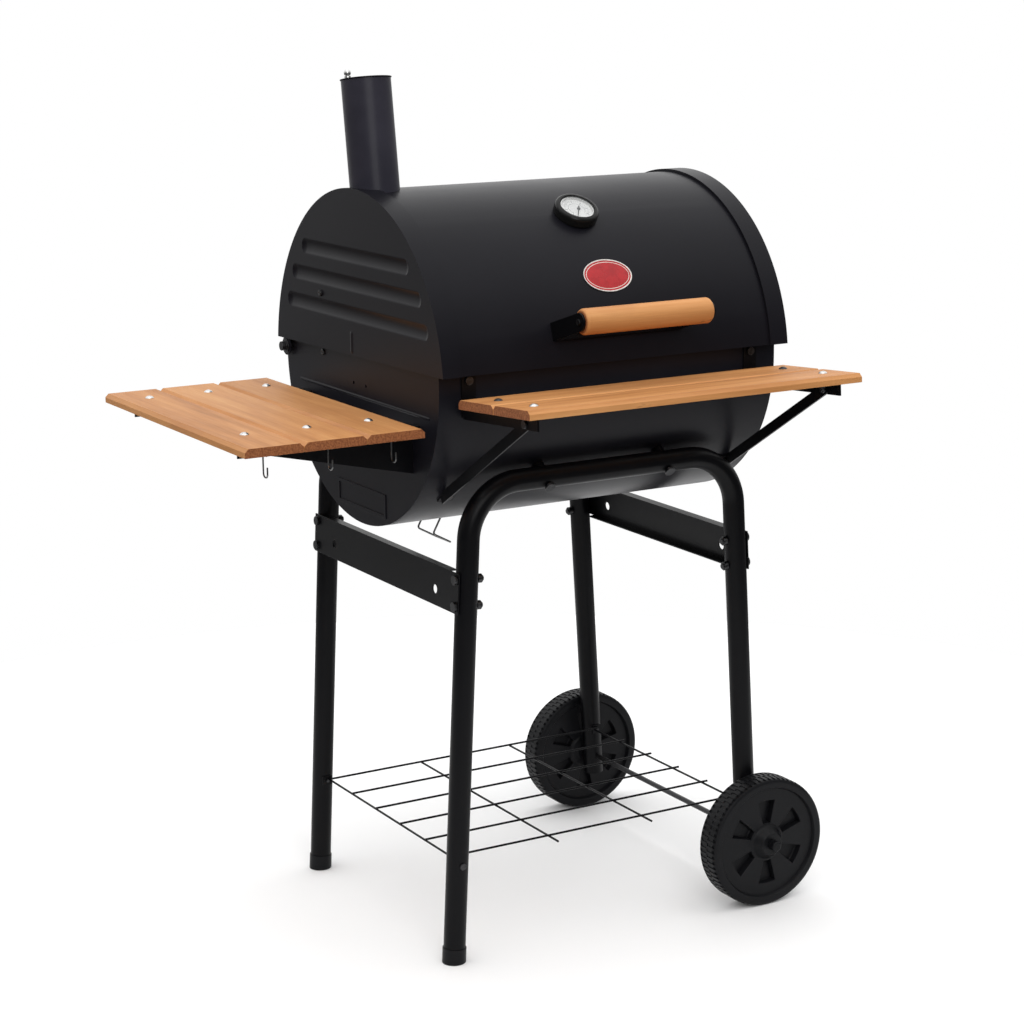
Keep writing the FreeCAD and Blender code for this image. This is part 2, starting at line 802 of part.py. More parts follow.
def make_lower_leg(side, end):
    low = foot_cap_floor if side < 0 else wheel_leg_end_z
    leg = leg_rod(side, end, tube_r, low, seam_z)
    neck = leg_rod(side, end, tube_r - tube_wall - running, seam_z - 1, seam_z + neck_length)
    leg = join([leg, neck])
    leg = leg.cut(leg_rod(side, end, tube_r - tube_wall - 1.6, low - 5, seam_z + neck_length + 5))
    for shank in brace_bolt_shanks(side, end):
        leg = leg.cut(shank)
    if side > 0:
        leg = leg.cut(rod((axle_x(), -400, wheel_r), (axle_x(), 400, wheel_r), axle_r))
    leg = leg.cut(rack_screw_shank(side, end))
    if side < 0:
        leg = leg.common(block(-400, 400, -400, 400, foot_cap_floor, 900))
    return leg


def make_foot_caps():
    caps = []
    for end in (-1, 1):
        cap = leg_rod(-1, end, foot_cap_r, -10, foot_cap_height)
        hollow = leg_rod(-1, end, tube_r, -20, foot_cap_height + 10).common(block(-400, 400, -400, 400,
                                                                                  foot_cap_floor, 200))
        cap = cap.cut(hollow).common(block(-400, 400, -400, 400, 0, 200))
        caps.append(cap)
    return loose(caps)


def barrel_outer():
    return trough(0.0, -body_half, body_half, body_rim_z)


def make_barrel_spacers():
    spacers = []
    barrel = barrel_outer()
    for end in (-1, 1):
        tube = rod((-200, leg_y(end), frame_top_z), (200, leg_y(end), frame_top_z), tube_r)
        for head, tail in barrel_bolt_axes():
            if head[1] * end > 0:
                sleeve = rod(head, tail, 9.0).cut(rod(head, tail, bolt_r))
                spacers.append(biggest(sleeve.cut(tube).cut(barrel)))
    return loose(spacers)


def biggest(shape):
    return max(shape.Solids, key=lambda s: s.Volume)


def make_barrel_bolts():
    bolts = []
    for head, tail in barrel_bolt_axes():
        h = V(*head)
        t = V(*tail)
        out = (h - t).normalize()
        skin = h + out * 0.4
        shank = rod(head, tail, bolt_r)
        skin_head = Part.makeCylinder(7.5, 3.5, skin + out * 2.2, out)
        washer = Part.makeCylinder(bolt_r, 2.7, skin - out * 0.5, out)
        nut = Part.makeCylinder(6.5, 6.0, t + out * 3.0, out)
        bolts.append(join([shank, skin_head, washer, nut]))
    return loose(bolts)


# braces

def splayed(shape, side):
    """Lean a piece built beside an upright leg so that it follows the splay."""
    return turned(shape, (side * leg_x(brace_z), 0, brace_z), (0, 1, 0), -side * splay)


def brace_bolt_shanks(side, end):
    shanks = []
    cx = leg_x(brace_z)
    for dz in (-brace_bolt_offset, brace_bolt_offset):
        z = brace_z + dz
        shank = rod((side * (cx - tube_r - 12), leg_y(end), z), (side * (cx + tube_r + 12), leg_y(end), z),
                    bolt_r)
        shanks.append(splayed(shank, side))
    return shanks


def make_brace(side):
    cx = leg_x(brace_z)
    face = cx + tube_r
    y0 = leg_centre_y - brace_reach
    y1 = leg_centre_y + brace_reach
    z0 = brace_z - brace_height / 2
    z1 = brace_z + brace_height / 2
    xs = sorted((side * face, side * (face + brace_sheet)))
    web = block(xs[0], xs[1], y0, y1, z0, z1)
    pieces = [web]
    inset = brace_reach - leg_half_track + tube_r + 6
    fs = sorted((side * (face + brace_sheet), side * (face - brace_flange)))
    for low in (z0, z1 - brace_sheet):
        pieces.append(block(fs[0], fs[1], y0 + inset, y1 - inset, low, low + brace_sheet))
    body = join(pieces)
    for y in (y0 + 68, y1 - 68):
        body = body.cut(rod((side * (face - 20), y, brace_z - 6), (side * (face + 20), y, brace_z - 6),
                            6.5))
    body = splayed(body, side)
    for end in (-1, 1):
        for shank in brace_bolt_shanks(side, end):
            body = body.cut(shank)
    return body


def make_frame_bolts():
    bolts = []
    for side in (-1, 1):
        cx = leg_x(brace_z)
        for end in (-1, 1):
            for dz in (-brace_bolt_offset, brace_bolt_offset):
                y = leg_y(end)
                z = brace_z + dz
                outer = cx + tube_r + brace_sheet
                shank = rod((side * (cx - tube_r - 9), y, z), (side * outer, y, z), bolt_r)
                head = rod((side * outer, y, z), (side * (outer + 4), y, z), 7.0)
                nut = rod((side * (cx - tube_r - 6.5), y, z), (side * (cx - tube_r), y, z), 6.5)
                bolts.append(splayed(join([shank, head, nut]), side))
    return loose(bolts)


# bottom rack

def rack_screw_shank(side, end):
    y = leg_y(end)
    inner = y - end * (tube_r + 6)
    outer = y + end * (tube_r + 4)
    x = side * leg_x(rack_z)
    return rod((x, inner, rack_z), (x, outer, rack_z), 2.5)


def make_rack_screws():
    screws = []
    for side in (-1, 1):
        for end in (-1, 1):
            y = leg_y(end)
            x = side * leg_x(rack_z)
            inner = y - end * tube_r
            outer = y + end * tube_r
            shank = rod((x, inner - end * 5, rack_z), (x, outer, rack_z), 2.5)
            head = rod((x, outer, rack_z), (x, outer + end * 2.5, rack_z), 5.0)
            screws.append(join([shank, head]))
    return loose(screws)


def make_bottom_rack():
    wires = []
    z_low = rack_z
    z_top = rack_z + 2 * wire_r - 0.4
    step = 2 * rack_half_length / (rack_columns - 1)
    front = rack_front_y - 22
    back = rack_back_y + 4
    inner_front = leg_y(-1) + tube_r
    inner_back = leg_y(1) - tube_r
    for i in range(rack_columns):
        x = -rack_half_length + i * step
        ends = (inner_front, inner_back) if i in (0, rack_columns - 1) else (front, back)
        wires.append(rod((x, ends[0], z_low), (x, ends[1], z_low), wire_r))
    row = (rack_back_y - rack_front_y) / (rack_rows - 1)
    for i in range(rack_rows):
        y = rack_front_y + i * row
        wires.append(rod((-rack_half_length - 2, y, z_top), (rack_half_length + 7, y, z_top), wire_r))
    for side in (-1, 1):
        for end, y in ((-1, inner_front), (1, inner_back)):
            x = side * leg_x(rack_z)
            ys = sorted((y, y - end * 2.0))
            tab = block(min(x - 8, side * rack_half_length - 2), max(x + 8, side * rack_half_length + 2),
                        ys[0], ys[1],
                        rack_z - 7, rack_z + 7)
            wires.append(tab)
    rack = join(wires)
    for side in (-1, 1):
        for end in (-1, 1):
            rack = rack.cut(rack_screw_shank(side, end))
    return rack


# axle and wheels

def axle_x():
    return leg_x(wheel_r)


def wheel_y(end):
    return wheel_centre_y + end * wheel_half_track


def make_axle():
    x = axle_x()
    reach = wheel_width / 2 + hub_rise + 12
    bar = rod((x, wheel_y(-1) - reach, wheel_r), (x, wheel_y(1) + reach, wheel_r), axle_r)
    pieces = [bar]
    for end in (-1, 1):
        inner = leg_y(end) + end * (tube_r + 0.8)
        outer = wheel_y(end) - end * (wheel_width / 2 + side_gap)
        pieces.append(rod((x, inner, wheel_r), (x, outer, wheel_r), 8.0))
    return join(pieces)


def make_axle_caps():
    x = axle_x()
    caps = []
    for end in (-1, 1):
        inner = wheel_y(end) + end * (wheel_width / 2 + hub_rise + side_gap)
        outer = inner + end * 13.0
        cap = rod((x, inner, wheel_r), (x, outer, wheel_r), 8.0)
        cap = cap.makeFillet(3.0, [e for e in cap.Edges if abs(e.CenterOfMass.y - outer) < 0.01])
        bore = rod((x, inner - end, wheel_r), (x, inner + end * 11.7, wheel_r), axle_r)
        caps.append(cap.cut(bore))
    return loose(caps)


def make_wheel(end):
    """Built along +Y, outer face at +Y, then faced outwards."""
    w = wheel_width / 2
    rim = wheel_r - 5.0
    profile = [(axle_r + running, -w), (hub_r, -w), (hub_r, -w + 8), (rim - 8, -w + 8), (rim - 8, -w + 1),
               (rim, -w), (wheel_r, -w + 9), (wheel_r, w - 9), (rim, w), (rim - 8, w - 1), (rim - 10,
                                                                                            w - 5),
               (hub_r + 4, w - 5), (hub_r, w - 3), (hub_nose_r, w + hub_rise), (axle_r + running,
                                                                                w + hub_rise)]
    corners = [V(r, y, 0) for r, y in profile]
    face = Part.Face(Part.makePolygon(corners + [corners[0]]))
    wheel = face.revolve(V(0, 0, 0), V(0, 1, 0), 360)
    sweep = 360.0 / pocket_count
    for i in range(pocket_count):
        wheel = wheel.cut(turned(wheel_pocket(w, sweep), (0, 0, 0), (0, 1, 0), 30 + i * sweep))
    if end < 0:
        wheel = turned(wheel, (0, 0, 0), (0, 0, 1), 180)
    wheel.translate(V(axle_x(), wheel_y(end), wheel_r))
    return wheel


def wheel_pocket(w, sweep):
    half_inner = pocket_inner_r * math.tan(math.radians(sweep * 0.26))
    half_outer = pocket_outer_r * math.tan(math.radians(sweep * 0.26))
    corners = [(pocket_inner_r, w - pocket_depth, -half_inner),
               (pocket_outer_r, w - pocket_depth, -half_outer),
               (pocket_outer_r, w - pocket_depth, half_outer), (pocket_inner_r, w - pocket_depth,
                                                                half_inner)]
    return plate(corners, (0, pocket_depth + 5, 0))


# ---------------------------------------------------------------------------
# shelves
# ---------------------------------------------------------------------------

def board(x0, x1, y0, y1, top, along_x):
    """A plank whose two long top edges are bevelled."""
    body = block(x0, x1, y0, y1, top - board_thickness, top)
    edges = []
    for e in body.Edges:
        c = e.CenterOfMass
        length = e.Length
        long_side = (x1 - x0) if along_x else (y1 - y0)
        if abs(c.z - top) < 0.01 and abs(length - long_side) < 0.01:
            edges.append(e)
    return body.makeChamfer(board_chamfer, edges)


def side_board_limits():
    limits = []
    x = side_outer_x
    for width in side_board_widths:
        limits.append((x, x + width))
        x = x + width + side_board_gap
    return limits


def make_side_board(index):
    x0, x1 = side_board_limits()[index]
    body = board(x0, x1, side_front_y, side_back_y, side_top_z, False)
    for y in (-side_bolt_y, side_bolt_y):
        body = body.cut(rod((side_bolt_x[index], y, side_top_z - 40),
                            (side_bolt_x[index], y, side_top_z + 5), small_bolt_r))
    return body


bracket_sheet = 2.5
bracket_lip = 24.0
side_hook_x = (-508.0, -412.5, -317.0)
hook_hole_r = 3.4
hook_wire_r = 1.1


def side_flange_bolts():
    places = []
    for end in (-1, 1):
        for z in (side_top_z - board_thickness - 16, side_top_z - board_thickness - 52):
            places.append((end * (side_bolt_y - 16), z))
    return places


def hook_pivot_z():
    return side_top_z - board_thickness - bracket_sheet - 7.5


def hook_pivot_y():
    return -side_bolt_y + 8.0 - bracket_lip + bracket_sheet / 2


def make_side_bracket(end):
    under = side_top_z - board_thickness
    outer = side_outer_x + 24
    y_web = end * side_bolt_y - end * 8.0
    y_lip = y_web + end * bracket_lip
    ys = sorted((y_web, y_web + end * bracket_sheet))
    web = plate([(outer, ys[0], under), (-body_half, ys[0], under), (-body_half, ys[0], under - 70),
                 (outer, ys[0], under - 9)],
                (0, bracket_sheet, 0))
    fs = sorted((y_web, y_lip))
    flange = block(outer, -body_half, fs[0], fs[1], under - bracket_sheet, under)
    ls = sorted((y_lip, y_lip - end * bracket_sheet))
    lip = block(outer, -body_half - 14, ls[0], ls[1], under - 16, under)
    ms = sorted((y_web, y_web - end * 20))
    mount = block(-body_half - bracket_sheet, -body_half, ms[0], ms[1], under - 66, under - 4)
    body = join([web, flange, lip, mount])
    for x in side_bolt_x:
        body = body.cut(rod((x, end * side_bolt_y, under - 20), (x, end * side_bolt_y, under + 5),
                            small_bolt_r))
    for y, z in side_flange_bolts():
        if y * end > 0:
            body = body.cut(rod((-body_half - 10, y, z), (-body_half + 10, y, z), small_bolt_r))
    if end < 0:
        for x in side_hook_x:
            body = body.cut(rod((x, hook_pivot_y() - 3, hook_pivot_z()),
                                (x, hook_pivot_y() + 3, hook_pivot_z()), hook_hole_r))
    return body


def bolt_down(x, y, top, under, head_r):
    """A domed bolt from a shelf top down through its bracket."""
    shank = rod((x, y, under - 9), (x, y, top), small_bolt_r)
    dome = Part.makeSphere(head_r * 1.25, V(x, y, top - head_r * 0.75))
    dome = dome.common(block(x - 20, x + 20, y - 20, y + 20, top, top + 20))
    nut = rod((x, y, under - 5), (x, y, under), 5.0)
    return join([shank, dome, nut])


def make_side_bolts():
    bolts = []
    under = side_top_z - board_thickness - bracket_sheet
    for x in side_bolt_x:
        for y in (-side_bolt_y, side_bolt_y):
            bolts.append(bolt_down(x, y, side_top_z, under, 6.5))
    for y, z in side_flange_bolts():
        shank = rod((-body_half - bracket_sheet, y, z), (-body_half + sheet + 8, y, z), small_bolt_r)
        head = rod((-body_half - bracket_sheet - 3, y, z), (-body_half - bracket_sheet, y, z), 5.5)
        nut = rod((-body_half + sheet, y, z), (-body_half + sheet + 5, y, z), 5.0)
        bolts.append(join([shank, head, nut]))
    return loose(bolts)


def make_hook(index):
    x = side_hook_x[index]
    y = hook_pivot_y()
    z = hook_pivot_z()
    reach = 6.0
    points = [(x, y - reach, z - 6.5), (x, y - reach, z), (x, y + reach, z), (x, y + reach, z - 35.5),
              (x, y - reach - 1, z - 35.5), (x, y - reach - 1, z - 21)]
    return wire_along(points, hook_wire_r, 5.5)


# front shelf

def tilted(shape):
    return turned(shape, (0, front_row_y, front_top_z), (1, 0, 0), -front_tilt)


def front_board_limits():
    back = front_row_y + front_board_back
    first = (back - front_board_width, back)
    second_back = first[0] - front_board_gap
    return (first, (second_back - front_board_width, second_back))


def front_bolt_y():
    return (front_row_y, front_row_y - front_bolt_pitch)


def make_front_board(index):
    y0, y1 = front_board_limits()[index]
    body = board(-front_half_length, front_half_length, y0, y1, front_top_z, True)
    for x in (-front_bolt_x, front_bolt_x):
        y = front_bolt_y()[index]
        body = body.cut(rod((x, y, front_top_z - 40), (x, y, front_top_z + 5), small_bolt_r))
    return tilted(body)


arm_half_width = 11.0
arm_sheet = 2.5
arm_bolt_z = 831.5


def arm_bolt_shank(side):
    x = side * front_bolt_x
    return rod((x, -body_half_depth - 6, arm_bolt_z + 10), (x, -body_half_depth + 12, arm_bolt_z + 10),
               small_bolt_r)


def make_front_arms():
    arms = []
    under = front_top_z - board_thickness
    front = front_bolt_y()[1] - 26
    for side in (-1, 1):
        x = side * front_bolt_x
        start = -body_half_depth - 4
        flange = block(x - arm_half_width, x + arm_half_width, front, start, under - arm_sheet, under)
        xs = sorted((x + side * arm_half_width, x + side * (arm_half_width - arm_sheet)))
        web = block(xs[0], xs[1], front, start, under - 18, under)
        arm = tilted(join([flange, web]))
        foot = block(x - arm_half_width, x + arm_half_width, -body_half_depth - arm_sheet, -body_half_depth,
                     under - 22, arm_bolt_z + 20)
        bridge = block(x - arm_half_width, x + arm_half_width, -body_half_depth - 12,
                       -body_half_depth - arm_sheet,
                       under - 14, under - 6.5)
        arm = join([arm, foot, bridge])
        arm = arm.cut(arm_bolt_shank(side))
        arm = arm.cut(tilted(rod((x, front_bolt_y()[0], under - 20), (x, front_bolt_y()[0], under + 5),
                                 small_bolt_r)))
        arm = arm.cut(tilted(rod((x, front_bolt_y()[1], under - 20), (x, front_bolt_y()[1], under + 5),
                                 small_bolt_r)))
        arm = arm.cut(strut_top_shank(side))
        arms.append(arm)
    return loose(arms)


strut_angle = 47.0
strut_width = 15.0
strut_sheet = 3.0


def strut_top():
    y = front_bolt_y()[1] + 6
    z = front_top_z - board_thickness - 11
    lean = math.radians(front_tilt)
    dy = y - front_row_y
    dz = z - front_top_z
    return (front_row_y + dy * math.cos(lean) + dz * math.sin(lean),
            front_top_z - dy * math.sin(lean) + dz * math.cos(lean))


def strut_top_shank(side):
    y, z = strut_top()
    x = side * (front_bolt_x + arm_half_width)
    return rod((x + side * 4, y, z), (x - side * 14, y, z), small_bolt_r)


def strut_bolt_shank(side):
    p = barrel_point(strut_angle)
    n = barrel_normal(strut_angle)
    x = side * (front_bolt_x + arm_half_width - arm_sheet - 12)
    a = p + n * (strut_sheet + 1)
    b = p - n * 12
    return rod((x, a.y, a.z), (x, b.y, b.z), small_bolt_r)


def make_front_struts():
    struts = []
    top_y, top_z = strut_top()
    p = barrel_point(strut_angle)
    n = barrel_normal(strut_angle)
    t = V(0, -n.z, n.y)
    foot = p + n * (strut_sheet + 2) - t * 2
    for side in (-1, 1):
        x_out = side * (front_bolt_x + arm_half_width - arm_sheet)
        x_in = x_out - side * strut_sheet
        xs = sorted((x_out, x_in))
        top = V(0, top_y, top_z)
        along = (top - foot).normalize()
        across = V(0, -along.z, along.y) * (strut_width / 2)
        a = foot - along * 3
        b = top
        corners = [a - across, b - across, b + across, a + across]
        bar = plate([(xs[0], c.y, c.z) for c in corners], (xs[1] - xs[0], 0, 0))
        eye = rod((xs[0], top_y, top_z), (xs[1], top_y, top_z), strut_width / 2)
        base = p
        tab_corners = [base + t * 12, base - t * 12, base - t * 12 + n * strut_sheet,
                       base + t * 12 + n * strut_sheet]
        tab_xs = sorted((x_out, x_out - side * 24))
        tab = plate([(tab_xs[0], c.y, c.z) for c in tab_corners], (24, 0, 0))
        strut = join([bar, eye, tab]).cut(barrel_outer())
        strut = strut.cut(strut_top_shank(side)).cut(strut_bolt_shank(side))
        struts.append(biggest(strut))
    return loose(struts)


def make_front_bolts():
    bolts = []
    under = front_top_z - board_thickness - arm_sheet
    for side in (-1, 1):
        x = side * front_bolt_x
        for y in front_bolt_y():
            bolts.append(tilted(bolt_down(x, y, front_top_z, under, 6.5)))
        z = arm_bolt_z + 10
        face = -body_half_depth - arm_sheet
        shank = rod((x, face, z), (x, -body_half_depth + sheet + 8, z), small_bolt_r)
        head = rod((x, face - 3, z), (x, face, z), 6.0)
        nut = rod((x, -body_half_depth + sheet, z), (x, -body_half_depth + sheet + 5, z), 5.5)
        bolts.append(join([shank, head, nut]))
        p = barrel_point(strut_angle)
        n = barrel_normal(strut_angle)
        bx = side * (front_bolt_x + arm_half_width - arm_sheet - 12)
        outer = V(bx, p.y, p.z) + n * strut_sheet
        tail = V(bx, p.y, p.z) - n * 9
        shank = Part.makeCylinder(small_bolt_r, (outer - tail).Length, tail, n)
        head = Part.makeCylinder(6.0, 3.0, outer, n)
        nut = Part.makeCylinder(5.5, 4.5, V(bx, p.y, p.z) - n * (sheet + 4.6), n)
        bolts.append(join([shank, head, nut]))
        y, z = strut_top()
        web = front_bolt_x + arm_half_width
        shank = rod((side * web, y, z), (side * (web - arm_sheet - strut_sheet - 6), y, z), small_bolt_r)
        head = rod((side * (web + 3), y, z), (side * web, y, z), 5.5)
        nut = rod((side * (web - arm_sheet - strut_sheet), y, z),
                  (side * (web - arm_sheet - strut_sheet - 4), y, z), 5.0)
        bolts.append(join([shank, head, nut]))
    return loose(bolts)


# grease-can wire

drip_x = -158.0
drip_half_width = 24.0
drip_wire_r = 1.4
drip_hole_r = 5.0
drip_drop = 34.0
drip_ledge = 34.0


def drip_pivot_z():
    return body_centre_z - body_drop + sheet + drip_wire_r + 2.2


def make_drip_wire():
    z = drip_pivot_z()
    w = drip_half_width
    x = drip_x
    low = z - drip_drop
    far = x + drip_ledge
    points = [(x, -w - 9, z), (x, -w, z), (x, -w, low), (far, -w, low), (far, w, low), (x, w, low),
              (x, w, z), (x, w + 9, z)]
    wire = wire_along(points, drip_wire_r, 4.0)
    offset = wire.CenterOfMass
    swing = math.degrees(math.atan2(offset.x - x, z - offset.z))
    return turned(wire, (x, 0, z), (0, 1, 0), swing)


# ---------------------------------------------------------------------------
# build and export
# ---------------------------------------------------------------------------

def build_all():
    nodes = {}
    nodes["body_shell"] = make_body_shell()
    nodes["body_end_left"] = make_body_end_left()
    nodes["body_end_right"] = make_body_end_right()
    nodes["grate_supports"] = make_grate_supports()
    nodes["air_shutter"] = make_air_shutter()
    nodes["lid_sheet"] = make_lid_sheet()
    nodes["lid_end_left"] = make_lid_end(-1)
    nodes["lid_end_right"] = make_lid_end(1)
    nodes["hinge_bolts"] = make_hinge_bolts()
    nodes["handle_bracket"] = make_handle_bracket()
    nodes["handle_grip"] = make_handle_grip()
    nodes["handle_screws"] = make_handle_screws()
    nodes["thermometer_case"] = make_thermometer_case()
    nodes["thermometer_dial"] = make_thermometer_dial()
    nodes["thermometer_needle"] = make_thermometer_needle()
    nodes["thermometer_lens"] = make_thermometer_lens()
    nodes["badge"] = make_badge()
    nodes["smokestack"] = make_smokestack()
    nodes["stack_damper"] = make_stack_damper()
    nodes["damper_bolt"] = make_damper_bolt()
    nodes["cooking_grate_left"] = make_cooking_grate(-1)
    nodes["cooking_grate_right"] = make_cooking_grate(1)
    nodes["charcoal_grate"] = make_charcoal_grate()
    nodes["warming_rack"] = make_warming_rack()
    nodes["warming_rack_legs"] = make_warming_rack_legs()
    nodes["front_leg_frame"] = make_leg_frame(-1)
    nodes["back_leg_frame"] = make_leg_frame(1)
    nodes["leg_front_left"] = make_lower_leg(-1, -1)
    nodes["leg_back_left"] = make_lower_leg(-1, 1)
    nodes["leg_front_right"] = make_lower_leg(1, -1)
    nodes["leg_back_right"] = make_lower_leg(1, 1)
    nodes["foot_caps"] = make_foot_caps()
    nodes["barrel_spacers"] = make_barrel_spacers()
    nodes["barrel_bolts"] = make_barrel_bolts()
    nodes["brace_left"] = make_brace(-1)
    nodes["brace_right"] = make_brace(1)
    nodes["frame_bolts"] = make_frame_bolts()
    nodes["bottom_rack"] = make_bottom_rack()
    nodes["rack_screws"] = make_rack_screws()
    nodes["axle"] = make_axle()
    nodes["axle_caps"] = make_axle_caps()
    nodes["wheel_front"] = make_wheel(-1)
    nodes["wheel_back"] = make_wheel(1)
    for i in range(3):
        nodes["side_board_%d" % (i + 1)] = make_side_board(i)
        nodes["hook_%d" % (i + 1)] = make_hook(i)
    nodes["side_bracket_front"] = make_side_bracket(-1)
    nodes["side_bracket_back"] = make_side_bracket(1)
    nodes["side_bolts"] = make_side_bolts()
    for i in range(2):
        nodes["front_board_%d" % (i + 1)] = make_front_board(i)
    nodes["front_arms"] = make_front_arms()
    nodes["front_struts"] = make_front_struts()
    nodes["front_bolts"] = make_front_bolts()
    nodes["drip_wire"] = make_drip_wire()
    return nodes


def centre_shift(nodes):
    box = FreeCAD.BoundBox()
    for shape in nodes.values():
        box.add(shape.optimalBoundingBox(False))
    return V(-(box.XMin + box.XMax) / 2.0, -(box.YMin + box.YMax) / 2.0, -box.ZMin)


nodes = build_all()
shift = centre_shift(nodes)
os.makedirs("parts", exist_ok=True)
for name, shape in nodes.items():
    placed = shape.copy()
    placed.translate(shift)
    placed.exportStep("parts/" + name + ".step")
print("nodes", len(nodes), "shift", tuple(round(v, 4) for v in shift))
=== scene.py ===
"""The looks of a barrel charcoal grill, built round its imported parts.

Metres, +Z up. The wheels stand at +X, the front shelf at -Y and the side shelf at -X.
"""

import json
import math

import bmesh
import bpy
from mathutils import Matrix, Vector

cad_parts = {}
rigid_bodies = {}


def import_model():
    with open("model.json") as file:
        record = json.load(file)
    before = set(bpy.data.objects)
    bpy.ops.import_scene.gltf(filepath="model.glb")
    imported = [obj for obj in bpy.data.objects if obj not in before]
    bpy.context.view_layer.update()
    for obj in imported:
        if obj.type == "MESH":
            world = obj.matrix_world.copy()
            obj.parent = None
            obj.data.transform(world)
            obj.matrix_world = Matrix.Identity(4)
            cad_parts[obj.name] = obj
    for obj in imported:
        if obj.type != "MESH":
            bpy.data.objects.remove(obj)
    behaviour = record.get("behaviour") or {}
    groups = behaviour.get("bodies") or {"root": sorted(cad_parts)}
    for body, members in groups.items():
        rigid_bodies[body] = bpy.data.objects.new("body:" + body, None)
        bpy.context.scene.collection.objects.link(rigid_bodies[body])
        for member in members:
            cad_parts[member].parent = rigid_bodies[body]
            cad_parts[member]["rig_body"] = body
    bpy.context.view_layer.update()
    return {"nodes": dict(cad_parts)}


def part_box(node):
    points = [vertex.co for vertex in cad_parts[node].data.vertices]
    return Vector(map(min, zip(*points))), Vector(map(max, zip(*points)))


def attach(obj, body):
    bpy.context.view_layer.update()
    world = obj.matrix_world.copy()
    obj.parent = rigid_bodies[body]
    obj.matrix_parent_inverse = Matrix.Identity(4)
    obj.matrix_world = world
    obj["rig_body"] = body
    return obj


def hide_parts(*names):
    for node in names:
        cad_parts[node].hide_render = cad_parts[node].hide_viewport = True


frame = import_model()
mm = 0.001

# ---------------------------------------------------------------------------
# driving sizes, some given and some worked out from the imported parts
# ---------------------------------------------------------------------------


def middle(node):
    """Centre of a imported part's box."""
    low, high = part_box(node)
    return (low + high) / 2


barrel_x = middle("body_shell").x
lid_set_forward = 2.9 * mm
lid_radius = 262.6 * mm
band_step = 4 * mm
barrel_y = middle("body_shell").y - lid_set_forward
barrel_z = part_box("lid_end_right")[1].z - lid_radius
sheet_radius = lid_radius - band_step
furniture_x = middle("handle_grip").x
thermometer_angle = math.radians(58.4)


def lid_point(x, angle, distance):
    """A point that far from the lid's axis, at an angle above the front horizontal."""
    y = barrel_y - distance * math.cos(angle)
    return Vector((x, y, barrel_z + distance * math.sin(angle)))


def lid_stand(x, angle, distance):
    """Turns a piece built with its back on the floor so that it sits on the lid there."""
    turn = Matrix.Rotation(math.pi / 2 - angle, 4, "X")
    return Matrix.Translation(lid_point(x, angle, distance)) @ turn


# ---------------------------------------------------------------------------
# finishes
# ---------------------------------------------------------------------------


class Level:
    """A value on a shader socket; sums written with it add Math nodes to its finish."""

    def __init__(self, finish, socket):
        self.finish = finish
        self.socket = socket

    def sum(self, operation, first, second):
        return self.finish.node("ShaderNodeMath", {"operation": operation}, {0: first, 1: second})

    def __add__(self, other):
        return self.sum("ADD", self, other)

    def __sub__(self, other):
        return self.sum("SUBTRACT", self, other)

    def __mul__(self, other):
        return self.sum("MULTIPLY", self, other)


class Finish:
    """One material on a Principled shader, with the nodes that vary it over the surface."""

    def __init__(self, name, **constants):
        self.material = bpy.data.materials.new(name)
        self.material.use_nodes = True
        self.tree = self.material.node_tree
        self.shader = self.tree.nodes["Principled BSDF"]
        for socket, value in constants.items():
            self.shader.inputs[socket.replace("_", " ")].default_value = value
        self.place = self.node("ShaderNodeTexCoord", {}, {}, "Object")
        self.facing = self.node("ShaderNodeTexCoord", {}, {}, "Normal")

    def node(self, kind, settings, inputs, output=0):
        """Adds a node: its settings first, then the values or links of its sockets."""
        made = self.tree.nodes.new(kind)
        for name, value in settings.items():
            if name == "stops":
                self.set_stops(made.color_ramp, value)
            else:
                setattr(made, name, value)
        for name, value in inputs.items():
            self.feed(made.inputs[name], value)
        return Level(self, made.outputs[output])

    def set_stops(self, ramp, stops):
        while len(ramp.elements) < len(stops):
            ramp.elements.new(0.5)
        for element, (position, colour) in zip(ramp.elements, stops):
            element.position = position
            element.color = (*colour, 1)

    def feed(self, socket, value):
        if isinstance(value, Level):
            self.tree.links.new(value.socket, socket)
        else:
            socket.default_value = value

    def stretched(self, scale, shift=(0, 0, 0)):
        """Object coordinates, scaled by axis and moved."""
        return self.node("ShaderNodeMapping", {}, {"Vector": self.place, "Location": shift, "Scale": scale})

    def noise(self, scale, detail=3.0, rough=0.5, where=None):
        inputs = {"Vector": where or self.place, "Scale": scale, "Detail": detail, "Roughness": rough}
        return self.node("ShaderNodeTexNoise", {}, inputs)

    def window(self, level, low, high, out_low=0.0, out_high=1.0):
        """Maps a range of a level to another range, with its ends cut off."""
        inputs = {"Value": level, "From Min": low, "From Max": high, "To Min": out_low, "To Max": out_high}
        return self.node("ShaderNodeMapRange", {"clamp": True}, inputs)

    def blend(self, factor, first, second):
        """A colour between two colours."""
        inputs = {0: factor, 6: first, 7: second}
        return self.node("ShaderNodeMix", {"data_type": "RGBA"}, inputs, 2)

    def faces_along(self, axis):
        """1 where the surface faces along the axis, 0 where it lies along it."""
        inputs = {0: self.facing, 1: axis}
        along = self.node("ShaderNodeVectorMath", {"operation": "DOT_PRODUCT"}, inputs, "Value")
        return self.node("ShaderNodeMath", {"operation": "ABSOLUTE"}, {0: along})

    def relief(self, height, strength, distance):
        """Raises the surface by a height pattern."""
        inputs = {"Height": height, "Strength": strength, "Distance": distance}
        self.feed(self.shader.inputs["Normal"], self.node("ShaderNodeBump", {}, inputs))

    def paint(self, colour):
        self.feed(self.shader.inputs["Base Color"], colour)

    def gloss(self, roughness):
        self.feed(self.shader.inputs["Roughness"], roughness)


def tone(red, green, blue):
    return (red, green, blue, 1)


